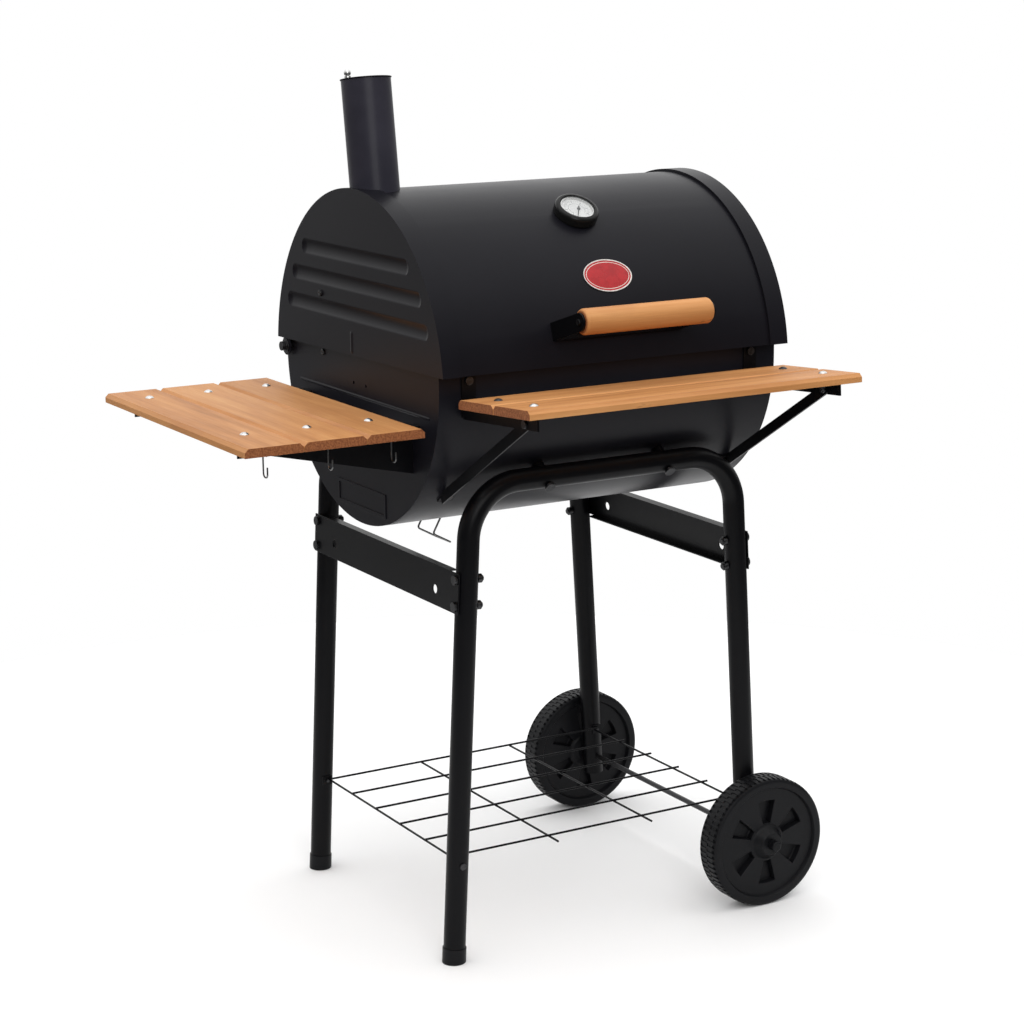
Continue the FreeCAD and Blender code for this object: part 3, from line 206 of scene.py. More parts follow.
def powder_coat(name, dark, light, roughness, speckle=1400):
    """Satin stove enamel: fine orange peel, cloudy gloss and a few lint-sized nibs."""
    coat = Finish(name, IOR=1.22)
    clouds = coat.noise(5, 4, 0.55)
    grit = coat.noise(speckle, 2, 0.6)
    coat.paint(coat.blend(coat.window(clouds, 0.3, 0.75), dark, light))
    coat.gloss(coat.window(clouds, 0.25, 0.8, roughness - 0.045, roughness + 0.045) + (grit - 0.5) * 0.12)
    coat.relief(coat.noise(speckle * 0.45, 2, 0.5) * 0.6 + grit * 0.4, 0.16, 0.25 * mm)
    return coat.material


def along(axis, share):
    """A pattern scale that draws it out along one axis."""
    return tuple(share if part else 1.0 for part in axis)


def pine(name, axis, shift, tint=1.0, figure=0.0):
    """Oiled softwood with its grain along an axis, darker and redder on the sawn ends.

    tint lightens or darkens the board, and figure brings out more knots.
    """
    wood = Finish(name, Specular_IOR_Level=0.22)
    grain = wood.stretched(along(axis, 0.055), shift)
    wander = wood.noise(9, 2, 0.5, grain)
    rings = wood.noise(44, 5, 0.62, grain) * 0.7 + wander * 0.3
    fibre = wood.noise(1100, 3, 0.7, wood.stretched(along(axis, 0.02), shift))
    stain = wood.noise(11, 3, 0.6, wood.stretched(along(axis, 0.45), shift))
    stops = (
        (0.30, (0.29 * tint, 0.115 * tint, 0.038 * tint)),
        (0.42, (0.46 * tint, 0.196 * tint, 0.062 * tint)),
        (0.53, (0.56 * tint, 0.255 * tint, 0.088 * tint)),
        (0.68, (0.63 * tint, 0.315 * tint, 0.120 * tint)),
    )
    bands = wood.node("ShaderNodeValToRGB", {"stops": stops}, {"Fac": rings})
    streaks = wood.window(fibre, 0.35, 0.62, 0.80, 1.0)
    board = wood.blend(streaks, tone(0.36 * tint, 0.16 * tint, 0.06 * tint), bands)
    board = wood.blend(wood.window(stain, 0.56, 0.74, 0, 0.5), board, tone(0.40, 0.16, 0.055))
    knots = wood.noise(34, 4, 0.72, wood.stretched(along(axis, 0.30), shift))
    knotty = wood.window(knots, 0.70 - figure, 0.76 - figure, 0, 0.75)
    board = wood.blend(knotty, board, tone(0.17, 0.065, 0.025))
    ends = wood.window(wood.faces_along(axis), 0.72, 0.93)
    pores = wood.noise(420, 2, 0.6)
    sawn = wood.blend(wood.window(pores, 0.35, 0.7), tone(0.17, 0.052, 0.018), tone(0.34, 0.125, 0.045))
    wood.paint(wood.blend(ends, board, sawn))
    wood.gloss(wood.window(fibre, 0.3, 0.7, 0.62, 0.46))
    wood.relief(fibre * 0.5 + rings * 0.5, 0.35, 0.35 * mm)
    return wood.material


def metal(name, dark, light, low, high, spangle=260):
    """Bare or plated metal with a mottled gloss and fine scratches."""
    plate = Finish(name, Metallic=1.0)
    patches = plate.noise(spangle, 3, 0.6)
    scratches = plate.noise(900, 2, 0.7, plate.stretched((1, 1, 0.08)))
    plate.paint(plate.blend(plate.window(patches, 0.3, 0.7), dark, light))
    plate.gloss(plate.window(patches, 0.3, 0.7, low, high) + (scratches - 0.5) * 0.1)
    plate.relief(scratches, 0.12, 0.1 * mm)
    return plate.material


def moulded(name, dark, light, roughness, sink=0.2):
    """Injection-moulded plastic: spark-eroded grain and slow sink marks."""
    plastic = Finish(name, IOR=1.24)
    flow = plastic.noise(14, 3, 0.5)
    grain = plastic.noise(2200, 2, 0.6)
    plastic.paint(plastic.blend(plastic.window(flow, 0.3, 0.7), dark, light))
    plastic.gloss(plastic.window(flow, 0.3, 0.7, roughness - 0.05, roughness + 0.05) + (grain - 0.5) * 0.1)
    plastic.relief(grain * 0.5 + flow * 0.5, sink, 0.2 * mm)
    return plastic.material


def printed_face():
    """The matt white face behind the thermometer glass."""
    card = Finish("dial_face", Specular_IOR_Level=0.4)
    fade = card.noise(60, 3, 0.5)
    card.paint(card.blend(card.window(fade, 0.3, 0.7), tone(0.55, 0.55, 0.55), tone(0.62, 0.62, 0.61)))
    card.gloss(card.window(fade, 0.3, 0.7, 0.42, 0.55))
    card.relief(card.noise(3000, 2, 0.5), 0.05, 0.05 * mm)
    return card.material


def enamel(name, dark, light):
    """Hard glossy enamel fired into a badge."""
    glass = Finish(name, Coat_Weight=0.25, Coat_Roughness=0.12, IOR=1.35)
    pool = glass.noise(90, 2, 0.5)
    glass.paint(glass.blend(glass.window(pool, 0.3, 0.7), dark, light))
    glass.gloss(glass.window(pool, 0.3, 0.7, 0.22, 0.34))
    glass.relief(pool, 0.15, 0.3 * mm)
    return glass.material


def clear_glass():
    """A thin clear pane: nearly all alpha, with its gloss left."""
    pane = Finish("lens_glass", Specular_IOR_Level=0.6, Base_Color=tone(0.9, 0.93, 0.93))
    smear = pane.noise(120, 3, 0.6)
    pane.gloss(pane.window(smear, 0.35, 0.7, 0.03, 0.12))
    pane.feed(pane.shader.inputs["Alpha"], pane.window(smear, 0.3, 0.7, 0.05, 0.09))
    return pane.material


finishes = {
    "barrel_black": powder_coat("barrel_black", tone(0.0064, 0.0062, 0.0088),
                                tone(0.0088, 0.0085, 0.0118), 0.35),
    # the stack's paint is lighter than the barrel's: partly its own greyer paint, and partly a painted
    # sheen standing in for the bright reflection down its middle
    "stack_black": powder_coat("stack_black", tone(0.020, 0.0192, 0.027),
                               tone(0.050, 0.048, 0.064), 0.32, 600),
    "frame_black": powder_coat("frame_black", tone(0.0022, 0.0022, 0.0029),
                               tone(0.0036, 0.0036, 0.0046), 0.36, 1700),
    "zinc": metal("zinc", tone(0.50, 0.50, 0.49), tone(0.72, 0.72, 0.71), 0.26, 0.40),
    "black_bolts": metal("black_bolts", tone(0.035, 0.035, 0.037), tone(0.075, 0.075, 0.078), 0.34, 0.48),
    "wheel_plastic": moulded("wheel_plastic", tone(0.0036, 0.0037, 0.0046),
                             tone(0.0062, 0.0064, 0.0077), 0.42),
    "thermometer_black": moulded("thermometer_black", tone(0.009, 0.009, 0.009),
                                 tone(0.013, 0.013, 0.013), 0.24, 0.06),
    "dial_face": printed_face(),
    "needle_black": moulded("needle_black", tone(0.008, 0.008, 0.008), tone(0.013, 0.013, 0.013), 0.4, 0.1),
    "lens_glass": clear_glass(),
    "badge_red": enamel("badge_red", tone(0.36, 0.006, 0.010), tone(0.45, 0.010, 0.015)),
    "cast_iron": powder_coat("cast_iron", tone(0.018, 0.017, 0.016), tone(0.035, 0.033, 0.031), 0.5, 700),
    "grate_steel": metal("grate_steel", tone(0.30, 0.30, 0.30), tone(0.52, 0.52, 0.51), 0.28, 0.42),
}
dull_wire = metal("dull_wire", tone(0.10, 0.10, 0.10), tone(0.22, 0.22, 0.22), 0.30, 0.42)
shelf_woods = {
    "side_board_1": pine("side_wood_1", (0, 1, 0), (0.31, 0.4, 0.2), 0.96, 0.03),
    "side_board_2": pine("side_wood_2", (0, 1, 0), (0.77, 1.3, 0.5), 0.98, 0.02),
    "side_board_3": pine("side_wood_3", (0, 1, 0), (1.43, 2.1, 0.9), 0.93, 0.02),
    "front_board_1": pine("front_wood_1", (1, 0, 0), (0.2, 0.63, 0.4), 1.0, 0.03),
    "front_board_2": pine("front_wood_2", (1, 0, 0), (1.7, 1.21, 0.1), 1.02, 0.05),
    "handle_grip": pine("handle_wood", (1, 0, 0), (2.4, 0.35, 1.2), 1.12, 0.07),
}

# ---------------------------------------------------------------------------
# workbench
# ---------------------------------------------------------------------------


def set_down():
    """Leaves edit mode and deselects everything."""
    if bpy.context.object is not None and bpy.context.object.mode == "EDIT":
        bpy.ops.object.mode_set(mode="OBJECT")
    bpy.ops.object.select_all(action="DESELECT")


def take_up(piece):
    """Selects only this piece."""
    set_down()
    piece.select_set(True)
    bpy.context.view_layer.objects.active = piece


def open_mesh(piece):
    """Edit mode on this piece with nothing selected."""
    take_up(piece)
    bpy.ops.object.mode_set(mode="EDIT")
    bpy.ops.mesh.select_mode(type="FACE")
    bpy.ops.mesh.select_all(action="DESELECT")


def pick(kind, test):
    """In edit mode, selects just the faces, edges or verts that pass the test."""
    bpy.ops.mesh.select_all(action="DESELECT")
    bpy.ops.mesh.select_mode(type={"faces": "FACE", "edges": "EDGE", "verts": "VERT"}[kind])
    mesh = bpy.context.edit_object.data
    shape = bmesh.from_edit_mesh(mesh)
    shape.normal_update()
    for item in getattr(shape, kind):
        if test(item):
            item.select_set(True)
    shape.select_flush_mode()
    bmesh.update_edit_mesh(mesh)


def edge_middle(edge):
    return (edge.verts[0].co + edge.verts[1].co) / 2


def apply_modifier(piece, kind, **settings):
    """Adds one modifier and applies it at once."""
    take_up(piece)
    modifier = piece.modifiers.new(kind.title(), kind)
    for name, value in settings.items():
        setattr(modifier, name, value)
    bpy.ops.object.modifier_apply(modifier=modifier.name)


def smooth(piece, degrees=32):
    """Smooth shading that keeps flat faces flat and corners crisp."""
    take_up(piece)
    bpy.ops.object.shade_smooth_by_angle(angle=math.radians(degrees))
    apply_modifier(piece, "WEIGHTED_NORMAL", keep_sharp=True, weight=80)


def close_seams(piece):
    """Merges doubles and faces everything outwards."""
    open_mesh(piece)
    bpy.ops.mesh.select_all(action="SELECT")
    bpy.ops.mesh.remove_doubles(threshold=1e-6)
    bpy.ops.mesh.normals_make_consistent(inside=False)
    set_down()


def move_mesh(piece, matrix):
    """Puts a piece in place in its mesh; its object stays at the origin."""
    piece.data.transform(matrix)
    piece.data.update()


def added(name, finish):
    """Names the primitive just added and gives it its finish."""
    piece = bpy.context.object
    piece.name = name
    piece.data.name = name
    piece.data.materials.clear()
    piece.data.materials.append(finish)
    return piece


def fit(piece, node):
    """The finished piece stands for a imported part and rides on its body."""
    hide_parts(node)
    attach(piece, frame["nodes"][node]["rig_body"])
    return piece


def weld(node, name):
    """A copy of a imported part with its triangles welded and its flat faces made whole."""
    source = frame["nodes"][node]
    piece = bpy.data.objects.new(name, source.data.copy())
    bpy.context.scene.collection.objects.link(piece)
    open_mesh(piece)
    bpy.ops.mesh.select_all(action="SELECT")
    bpy.ops.mesh.remove_doubles(threshold=1e-6)
    bpy.ops.mesh.dissolve_limited(angle_limit=math.radians(0.4))
    set_down()
    return piece


def dress(node, slot, edge=0.5 * mm, finish=None):
    """A welded copy with its sharp edges broken, shaded smooth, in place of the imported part."""
    piece = weld(node, node + "_skin")
    piece.data.materials.clear()
    piece.data.materials.append(finish or finishes[slot])
    if edge:
        apply_modifier(piece, "BEVEL", width=edge, segments=2, limit_method="ANGLE",
                       angle_limit=math.radians(38), miter_outer="MITER_ARC", use_clamp_overlap=True)
    smooth(piece)
    return fit(piece, node)


# ---------------------------------------------------------------------------
# wheels
# ---------------------------------------------------------------------------

wheel_radius = 99 * mm
wheel_width = 41 * mm
wheel_steps = 144
pocket_count = 6
pocket_start = 0.27            # of the turn between one pocket and the next
pocket_end = 0.72
pocket_inner = 30 * mm
pocket_outer = 60 * mm
tread_radius = 97.5 * mm       # faces further out than this carry tread blocks
block_groove = 1.1 * mm
bore_reach = 6 * mm


def turn_of(face):
    """Place of a face round the axis, as a whole number of steps."""
    centre = face.calc_center_median()
    return math.floor(math.atan2(centre.y, centre.x) / (2 * math.pi) * wheel_steps)


def in_pocket(face, inner, outer):
    centre = face.calc_center_median()
    radius = math.hypot(centre.x, centre.y)
    if not inner < radius < outer:
        return False
    pitch = wheel_steps // pocket_count
    return pocket_start < (turn_of(face) % pitch) / pitch < pocket_end


def inset(thickness, depth=0.0, single=False, even=True):
    """Insets the picked faces and raises them by depth."""
    bpy.ops.mesh.inset(thickness=thickness, depth=depth, use_individual=single, use_even_offset=even)


def mould_face(up, recess, nose):
    """Rings, pockets and a hub with a rising nose on one side of the wheel; up is 1 or -1."""
    pick("faces", lambda f: f.normal.z * up > 0.99 and len(f.verts) > 8)
    side_wall = ((7, 0), (1, -1.2), (1.5, -recess / mm), (17.0, 0), (37, 0))
    hub = ((2.5, 0.8), (2.0, 2.0), (6.5, nose / mm), (1.4, 0.8), (9.8, 0))
    for step_in, rise in side_wall + hub:
        inset(step_in * mm, rise * mm)
    bpy.ops.mesh.delete(type="FACE")
    pick("faces", lambda f: f.normal.z * up > 0.99 and in_pocket(f, pocket_inner, pocket_outer))
    for step_in, rise in ((0.8, -0.5), (1.6, -8.5), (1.0, -0.8)):
        inset(step_in * mm, rise * mm, even=False)


def model_wheel():
    """The wheel lies on its inner side with its axis on Z."""
    set_down()
    bpy.ops.mesh.primitive_cylinder_add(vertices=wheel_steps, radius=wheel_radius, depth=wheel_width)
    wheel = added("wheel", finishes["wheel_plastic"])
    open_mesh(wheel)
    half = wheel_width / 2
    pick("edges", lambda e: abs(abs(edge_middle(e).z) - half) < 1e-5)
    bpy.ops.mesh.bevel(offset=6.5 * mm, segments=4, profile=0.55, affect="EDGES")
    mould_face(1, 3.5 * mm, 9.5 * mm)
    mould_face(-1, 5.0 * mm, 1.5 * mm)
    pick("edges", lambda e: math.hypot(edge_middle(e).x, edge_middle(e).y) < bore_reach)
    bpy.ops.mesh.bridge_edge_loops()
    bpy.ops.mesh.select_all(action="SELECT")
    bpy.ops.mesh.bisect(plane_co=(0, 0, 0), plane_no=(0, 0, 1))
    pick("faces", lambda f: is_tread(f) and (turn_of(f) + (f.calc_center_median().z > 0)) % 2 == 0)
    inset(0.5 * mm, -block_groove, single=True, even=False)
    set_down()
    close_seams(wheel)
    smooth(wheel, 28)
    return wheel


def is_tread(face):
    """The faces round the rim, but not the side walls."""
    centre = face.calc_center_median()
    return math.hypot(centre.x, centre.y) > tread_radius and abs(face.normal.z) < 0.62


def place_wheels():
    wheel = model_wheel()
    for node, turn in (("wheel_front", math.pi / 2), ("wheel_back", -math.pi / 2)):
        copy = bpy.data.objects.new(node + "_moulded", wheel.data.copy())
        bpy.context.scene.collection.objects.link(copy)
        out = -1 if turn > 0 else 1
        low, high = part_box(node)
        inner_side = low.y if out > 0 else high.y
        rim_y = inner_side + out * wheel_width / 2
        rim_middle = Vector((middle(node).x, rim_y, middle(node).z))
        move_mesh(copy, Matrix.Translation(rim_middle) @ Matrix.Rotation(turn, 4, "X"))
        fit(copy, node)
    bpy.data.objects.remove(wheel)


# ---------------------------------------------------------------------------
# thermometer and badge
# ---------------------------------------------------------------------------

case_radius = 32.3 * mm
case_height = 15 * mm
dial_radius = 25 * mm
dial_seat = 8 * mm
glass_lift = 5 * mm            # middle of the pane above the dial's seat
tick_count = 25
dot_count = 60
scale_start = math.radians(135)
scale_sweep = math.radians(270)


def model_case():
    """A black cup with a rolled rim, and its stem down into the barrel."""
    set_down()
    bpy.ops.mesh.primitive_cylinder_add(vertices=96, radius=case_radius, depth=case_height,
                                        location=(0, 0, case_height / 2))
    case = added("thermometer_cup", finishes["thermometer_black"])
    bpy.ops.object.transform_apply(location=True, rotation=True, scale=True)
    open_mesh(case)
    pick("edges", lambda e: edge_middle(e).z > case_height - 1e-5 and len(e.link_faces) == 2)
    bpy.ops.mesh.bevel(offset=5 * mm, segments=7, affect="EDGES")
    pick("edges", lambda e: edge_middle(e).z < 1e-5)
    bpy.ops.mesh.bevel(offset=1.2 * mm, segments=2, affect="EDGES")
    pick("faces", lambda f: f.normal.z > 0.99 and len(f.verts) > 8)
    inset(1.3 * mm)
    inset(0.5 * mm, -0.5 * mm)
    inset(0.3 * mm, -6 * mm)
    set_down()
    stem = add_rod("stem", 3 * mm, -60 * mm, 1 * mm)
    nut = add_rod("nut", 8 * mm, -7.2 * mm, -2.2 * mm)
    return joined(case, [stem, nut])


def add_rod(name, radius, low, high, finish=None):
    """A round bar along Z with broken edges."""
    set_down()
    bpy.ops.mesh.primitive_cylinder_add(vertices=32, radius=radius, depth=high - low,
                                        location=(0, 0, (low + high) / 2))
    bar = added(name, finish or finishes["thermometer_black"])
    bpy.ops.object.transform_apply(location=True, rotation=True, scale=True)
    open_mesh(bar)
    pick("edges", lambda e: abs(e.verts[0].co.z - e.verts[1].co.z) < 1e-6)
    bpy.ops.mesh.bevel(offset=min(radius * 0.2, 0.6 * mm), segments=2, affect="EDGES")
    set_down()
    return bar


def joined(first, others):
    """Joins pieces into the first one."""
    set_down()
    for piece in others:
        piece.select_set(True)
    first.select_set(True)
    bpy.context.view_layer.objects.active = first
    bpy.ops.object.join()
    return first


def model_tick(angle, inner, outer, width, top):
    """A printed mark on the dial, a hair above its face."""
    set_down()
    bpy.ops.mesh.primitive_cube_add(size=1, location=(0, 0, 0))
    tick = added("tick", finishes["needle_black"])
    size = Matrix.Diagonal((width, outer - inner, 0.12 * mm, 1))
    lift = Matrix.Translation((0, (inner + outer) / 2, top))
    move_mesh(tick, Matrix.Rotation(angle, 4, "Z") @ lift @ size)
    return tick


def model_dial():
    """White face in a bright ring, with marks over three quarters of a turn."""
    top = dial_seat + 1.5 * mm
    set_down()
    bpy.ops.mesh.primitive_cylinder_add(vertices=96, radius=dial_radius - 0.1 * mm, depth=1 * mm,
                                        location=(0, 0, top - 0.5 * mm))
    dial = added("dial", finishes["dial_face"])
    bpy.ops.object.transform_apply(location=True, rotation=True, scale=True)
    dial.data.materials.append(finishes["zinc"])
    open_mesh(dial)
    pick("faces", lambda f: f.normal.z > 0.99)
    inset(0.3 * mm)
    inset(0.4 * mm, 3.2 * mm)
    inset(1.0 * mm)
    inset(0.5 * mm, -3.2 * mm)
    set_down()
    for face in dial.data.polygons:
        ring = math.hypot(face.center.x, face.center.y) > dial_radius - 2.6 * mm and face.center.z > top
        face.material_index = 1 if ring and len(face.vertices) < 8 else 0
    ticks = []
    for i in range(tick_count):
        angle = scale_start - scale_sweep * i / (tick_count - 1)
        long_mark = i % 4 == 0
        inner = (14.6 if long_mark else 16.6) * mm
        ticks.append(model_tick(angle, inner, 18.8 * mm, (0.75 if long_mark else 0.4) * mm, top))
    for i in range(dot_count):
        angle = scale_start - scale_sweep * (i + 0.5) / dot_count
        ticks.append(model_tick(angle, 12.2 * mm, 12.6 * mm, 0.95 * mm, top))
    return joined(dial, ticks)


def model_lens():
    """A thin pane that domes in a few rings."""
    set_down()
    bpy.ops.mesh.primitive_cylinder_add(vertices=96, radius=dial_radius - 0.1 * mm, depth=1.0 * mm,
                                        location=(0, 0, dial_seat + glass_lift))
    lens = added("lens", finishes["lens_glass"])
    bpy.ops.object.transform_apply(location=True, rotation=True, scale=True)
    open_mesh(lens)
    pick("faces", lambda f: f.normal.z > 0.99)
    rings = 6
    for step in range(rings):
        inset(3.4 * mm, 0.36 * mm * (1 - step / rings))
    set_down()
    smooth(lens, 40)
    return lens


def place_thermometer():
    seat = lid_stand(furniture_x, thermometer_angle, sheet_radius)
    made = (
        (model_case(), "thermometer_case", "thermometer_black"),
        (model_dial(), "thermometer_dial", "dial_face"),
        (model_lens(), "thermometer_lens", "lens_glass"),
    )
    for piece, node, slot in made:
        move_mesh(piece, seat)
        smooth(piece, 35)
        fit(piece, node)
    dress("thermometer_needle", "needle_black", 0.15 * mm)


def outward(face):
    """How far a face of a piece on the lid looks away from the lid's axis."""
    centre = face.calc_center_median()
    away = Vector((0, centre.y - barrel_y, centre.z - barrel_z)).normalized()
    return face.normal.dot(away)


def place_badge():
    """An oval plate with a bright rim round a sunk field of red enamel and one pale line."""
    badge = weld("badge", "badge_plate")
    rim = metal("badge_rim", tone(0.55, 0.50, 0.46), tone(0.75, 0.71, 0.68), 0.24, 0.36)
    line = enamel("badge_line", tone(0.70, 0.62, 0.55), tone(0.78, 0.72, 0.66))
    badge.data.materials.clear()
    for finish in (rim, finishes["badge_red"], line):
        badge.data.materials.append(finish)
    open_mesh(badge)
    pick("faces", lambda f: outward(f) > 0.9)
    rim_step, enamel_step, line_step, field_step = (1.3, 0, 0), (0.4, -0.35, 1), (2.4, 0, 2), (0.9, 0, 1)
    for thickness, depth, layer in (rim_step, enamel_step, line_step, field_step):
        inset(thickness * mm, depth * mm)
        bpy.context.object.active_material_index = layer
        bpy.ops.object.material_slot_assign()
    set_down()
    smooth(badge, 30)
    fit(badge, "badge")


# ---------------------------------------------------------------------------
# pressed ends
# ---------------------------------------------------------------------------

lid_half = 283 * mm
body_half = 276.6 * mm
upright_height = 866 * mm      # heights are above the floor, and the rest are from mid-barrel
upright_offset = 8 * mm
crease_height = 788 * mm
crease_offset = -8 * mm
body_screw_height = 838 * mm
body_screw_offset = 115 * mm
lid_screw_height = 926 * mm
lid_screw_offset = 105 * mm
screw_radius = 4.6 * mm


def on_end(side, face, y, z, turn=0.0):
    """Turns a piece built with its back on the floor so that it sits on an end plate."""
    axes = Matrix(((0, 0, side, 0), (side, 0, 0, 0), (0, 1, 0, 0), (0, 0, 0, 1)))
    place = Matrix.Translation((barrel_x + side * face, y, z))
    return place @ axes @ Matrix.Rotation(turn, 4, "Z")


def swell(share):
    """Height of a pressed bead from its foot, 0, to its crown, 1."""
    return math.sin(share * math.pi / 2) ** 2


def model_bead(name, reach, breadth, rise, finish, steps=7):
    """A pressed bead: a long low swelling with round ends, along X."""
    set_down()
    bpy.ops.mesh.primitive_cylinder_add(vertices=48, radius=breadth, depth=0.4 * mm,
                                        location=(0, 0, -0.1 * mm))
    bead = added(name, finish)
    bpy.ops.object.transform_apply(location=True, rotation=True, scale=True)
    open_mesh(bead)
    pick("faces", lambda f: f.normal.z > 0.99)
    for step in range(steps):
        climb = swell((step + 1) / steps) - swell(step / steps)
        inset(breadth * 0.93 / steps, rise * climb)
    for way in (1, -1):
        pick("verts", lambda v: v.co.x * way > 1e-6)
        bpy.ops.transform.translate(value=(way * (reach - breadth), 0, 0))
    set_down()
    return bead


def model_screw(name, radius, height, finish):
    """A pan-head screw with a round recess."""
    screw = add_rod(name, radius, -0.3 * mm, height, finish)
    open_mesh(screw)
    pick("faces", lambda f: f.normal.z > 0.99 and len(f.verts) > 8)
    inset(radius * 0.45)
    inset(radius * 0.12, -height * 0.35)
    set_down()
    return screw


def press_lid_end(side, node):
    """The grooved lid end with a short upright bead over its lower edge."""
    end = dress(node, "barrel_black", 0.9 * mm)
    upright = model_bead("upright", 17 * mm, 5 * mm, 0.8 * mm, finishes["barrel_black"])
    across = middle("body_shell").y + upright_offset
    move_mesh(upright, on_end(side, lid_half, across, upright_height, math.pi / 2))
    smooth(upright)
    upright.name = node + "_upright"
    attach(upright, "lid")
    return end


def press_body_end(side, node):
    """The body end with a long crease over the shelf and a screw above it."""
    end = dress(node, "barrel_black", 0.5 * mm)
    centre = middle("body_shell").y
    crease = model_bead("crease", 205 * mm, 2.6 * mm, 0.7 * mm, finishes["barrel_black"], 4)
    move_mesh(crease, on_end(side, body_half, centre + crease_offset, crease_height))
    screw = model_screw("screw", screw_radius, 2.4 * mm, finishes["black_bolts"])
    move_mesh(screw, on_end(side, body_half, centre + body_screw_offset, body_screw_height))
    for piece in (crease, screw):
        smooth(piece)
        piece.name = node + "_" + piece.name
        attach(piece, "stand")
    return end


def place_ends():
    for side, name in ((-1, "left"), (1, "right")):
        press_lid_end(side, "lid_end_" + name)
        press_body_end(side, "body_end_" + name)
    screw = model_screw("lid_end_screw", screw_radius, 3.0 * mm, finishes["black_bolts"])
    across = middle("body_shell").y + lid_screw_offset
    move_mesh(screw, on_end(-1, lid_half, across, lid_screw_height))
    smooth(screw)
    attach(screw, "lid")


# ---------------------------------------------------------------------------
# the rest of the grill
# ---------------------------------------------------------------------------


def two_tone(piece, finish, test):
    """Gives a second finish to the faces whose centre passes the test."""
    piece.data.materials.append(finish)
    for face in piece.data.polygons:
        if test(face.center):
            face.material_index = 1


def dress_all():
    """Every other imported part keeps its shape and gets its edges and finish."""
    groups = (
        ("barrel_black", 0.5, ("body_shell", "air_shutter", "lid_sheet", "stack_damper")),
        ("frame_black", 0.5, ("front_leg_frame", "back_leg_frame", "leg_front_left", "leg_back_left",
                              "leg_front_right", "leg_back_right", "brace_left", "brace_right",
                              "side_bracket_front", "side_bracket_back", "front_arms", "front_struts",
                              "barrel_spacers", "grate_supports", "handle_bracket", "bottom_rack")),
        ("zinc", 0.4, ("side_bolts", "damper_bolt")),
        ("black_bolts", 0.4, ("hinge_bolts", "barrel_bolts", "frame_bolts", "rack_screws", "axle")),
        ("wheel_plastic", 0.8, ("foot_caps", "axle_caps")),
        ("cast_iron", 0.8, ("cooking_grate_left", "cooking_grate_right")),
        ("grate_steel", 0.4, ("charcoal_grate", "warming_rack", "warming_rack_legs")),
    )
    for slot, edge, nodes in groups:
        for node in nodes:
            dress(node, slot, edge * mm)
    for node, finish in shelf_woods.items():
        dress(node, "wood", 1.6 * mm, finish)
    # the stack gets the lighter copy of the barrel paint, with its painted sheen
    dress("smokestack", "barrel_black", 0.6 * mm, finishes["stack_black"])
    heads = dress("front_bolts", "zinc", 0.4 * mm)
    shelf_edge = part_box("front_board_2")[1].y
    shelf_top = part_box("front_board_1")[1].z - 6 * mm
    two_tone(heads, finishes["black_bolts"], lambda c: c.y > shelf_edge or c.z < shelf_top)
    dress("handle_screws", "zinc", 0.3 * mm, finishes["black_bolts"])
    for node in ("hook_1", "hook_2", "hook_3", "drip_wire"):
        dress(node, "zinc", 0, dull_wire)


# ---------------------------------------------------------------------------
# studio
# ---------------------------------------------------------------------------


floor_radius = 1.7
lens_length = 85.473
camera_stand = Vector((-1.79944, -3.07586, 1.38817))   # from mid-barrel, and from the floor
camera_heading = math.radians(-29.95)
camera_pitch = math.radians(90 - 12.69)
camera_roll = math.radians(-0.62)


def lay_floor():
    """A round sheet of white paper."""
    set_down()
    bpy.ops.mesh.primitive_circle_add(vertices=96, radius=floor_radius, fill_type="NGON")
    paper = Finish("floor_paper", Specular_IOR_Level=0.1, Roughness=0.9)
    fibre = paper.noise(2, 3, 0.5)
    paper.paint(paper.blend(fibre, tone(0.90, 0.90, 0.90), tone(0.92, 0.92, 0.92)))
    floor = added("floor", paper.material)


def hang_lamp(name, place, aim, width, power):
    """A square panel lamp facing a point."""
    light = bpy.data.lights.new(name, "AREA")
    light.shape = "SQUARE"
    light.size = width
    light.energy = power
    lamp = bpy.data.objects.new(name, light)
    lamp.location = place
    lamp.rotation_euler = (Vector(aim) - Vector(place)).to_track_quat("-Z", "Y").to_euler()
    bpy.context.scene.collection.objects.link(lamp)


def hang_sky():
    """Soft daylight from a big source overhead."""
    light = bpy.data.lights.new("sky_panel", "SUN")
    light.energy = 0.7
    light.angle = math.radians(60)
    lamp = bpy.data.objects.new("sky_panel", light)
    lamp.rotation_euler = (math.radians(12), math.radians(-10), 0)
    bpy.context.scene.collection.objects.link(lamp)


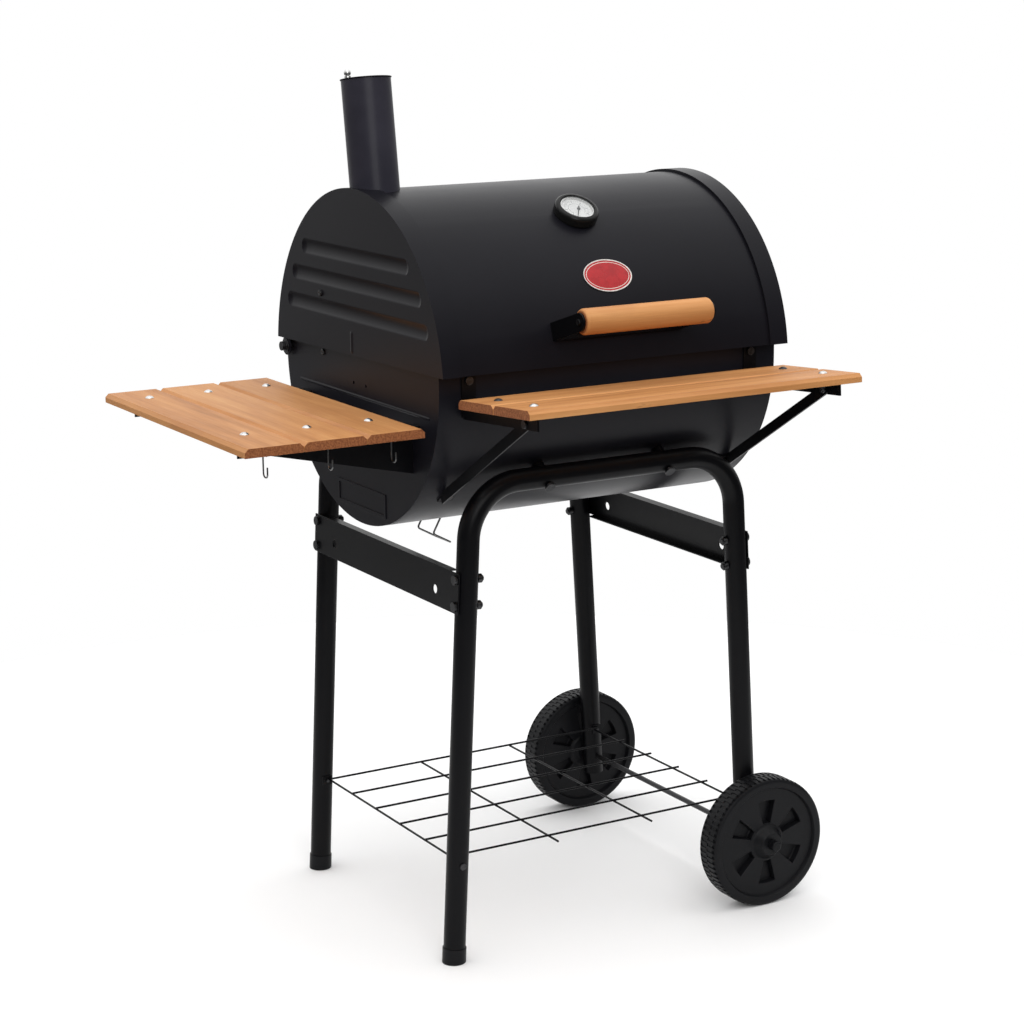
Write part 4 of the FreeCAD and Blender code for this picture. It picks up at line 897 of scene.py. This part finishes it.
def light_room():
    """White walls: bright behind the grill, dimmer in front, plain white to the eye."""
    world = bpy.data.worlds.new("studio")
    bpy.context.scene.world = world
    world.use_nodes = True
    tree = world.node_tree
    background = tree.nodes["Background"]
    where = tree.nodes.new("ShaderNodeTexCoord")
    lean = tree.nodes.new("ShaderNodeVectorMath")
    lean.operation = "DOT_PRODUCT"
    lean.inputs[1].default_value = (0.1, 0.35, 0.95)
    tree.links.new(where.outputs["Generated"], lean.inputs[0])
    ramp = tree.nodes.new("ShaderNodeMapRange")
    ramp.inputs["From Min"].default_value = -0.02
    ramp.inputs["From Max"].default_value = 0.6
    ramp.inputs["To Min"].default_value = 0.08
    ramp.inputs["To Max"].default_value = 1.32
    tree.links.new(lean.outputs["Value"], ramp.inputs["Value"])
    seen = tree.nodes.new("ShaderNodeLightPath")
    strength = tree.nodes.new("ShaderNodeMix")
    strength.inputs[3].default_value = 1.0
    tree.links.new(seen.outputs["Is Camera Ray"], strength.inputs[0])
    tree.links.new(ramp.outputs[0], strength.inputs[2])
    tree.links.new(strength.outputs[0], background.inputs["Strength"])
    background.inputs["Color"].default_value = (1, 1, 1, 1)


def stand_camera():
    """A long lens at chest height, off the left front corner."""
    lens = bpy.data.cameras.new("camera")
    lens.sensor_width = 36
    lens.lens = lens_length
    camera = bpy.data.objects.new("camera", lens)
    heading = Matrix.Rotation(camera_heading, 4, "Z")
    pitch = Matrix.Rotation(camera_pitch, 4, "X")
    roll = Matrix.Rotation(camera_roll, 4, "Z")
    place = Vector((middle("body_shell").x, middle("body_shell").y, 0)) + camera_stand
    camera.matrix_world = Matrix.Translation(place) @ heading @ pitch @ roll
    bpy.context.scene.collection.objects.link(camera)
    bpy.context.scene.camera = camera


place_wheels()
place_thermometer()
place_badge()
place_ends()
dress_all()
lay_floor()
hang_sky()
hang_lamp("front_panel", (-1.3, -3.9, 2.5), (0, 0, 0.8), 2.4, 62)
light_room()
stand_camera()
bpy.context.scene.view_settings.view_transform = "Standard"
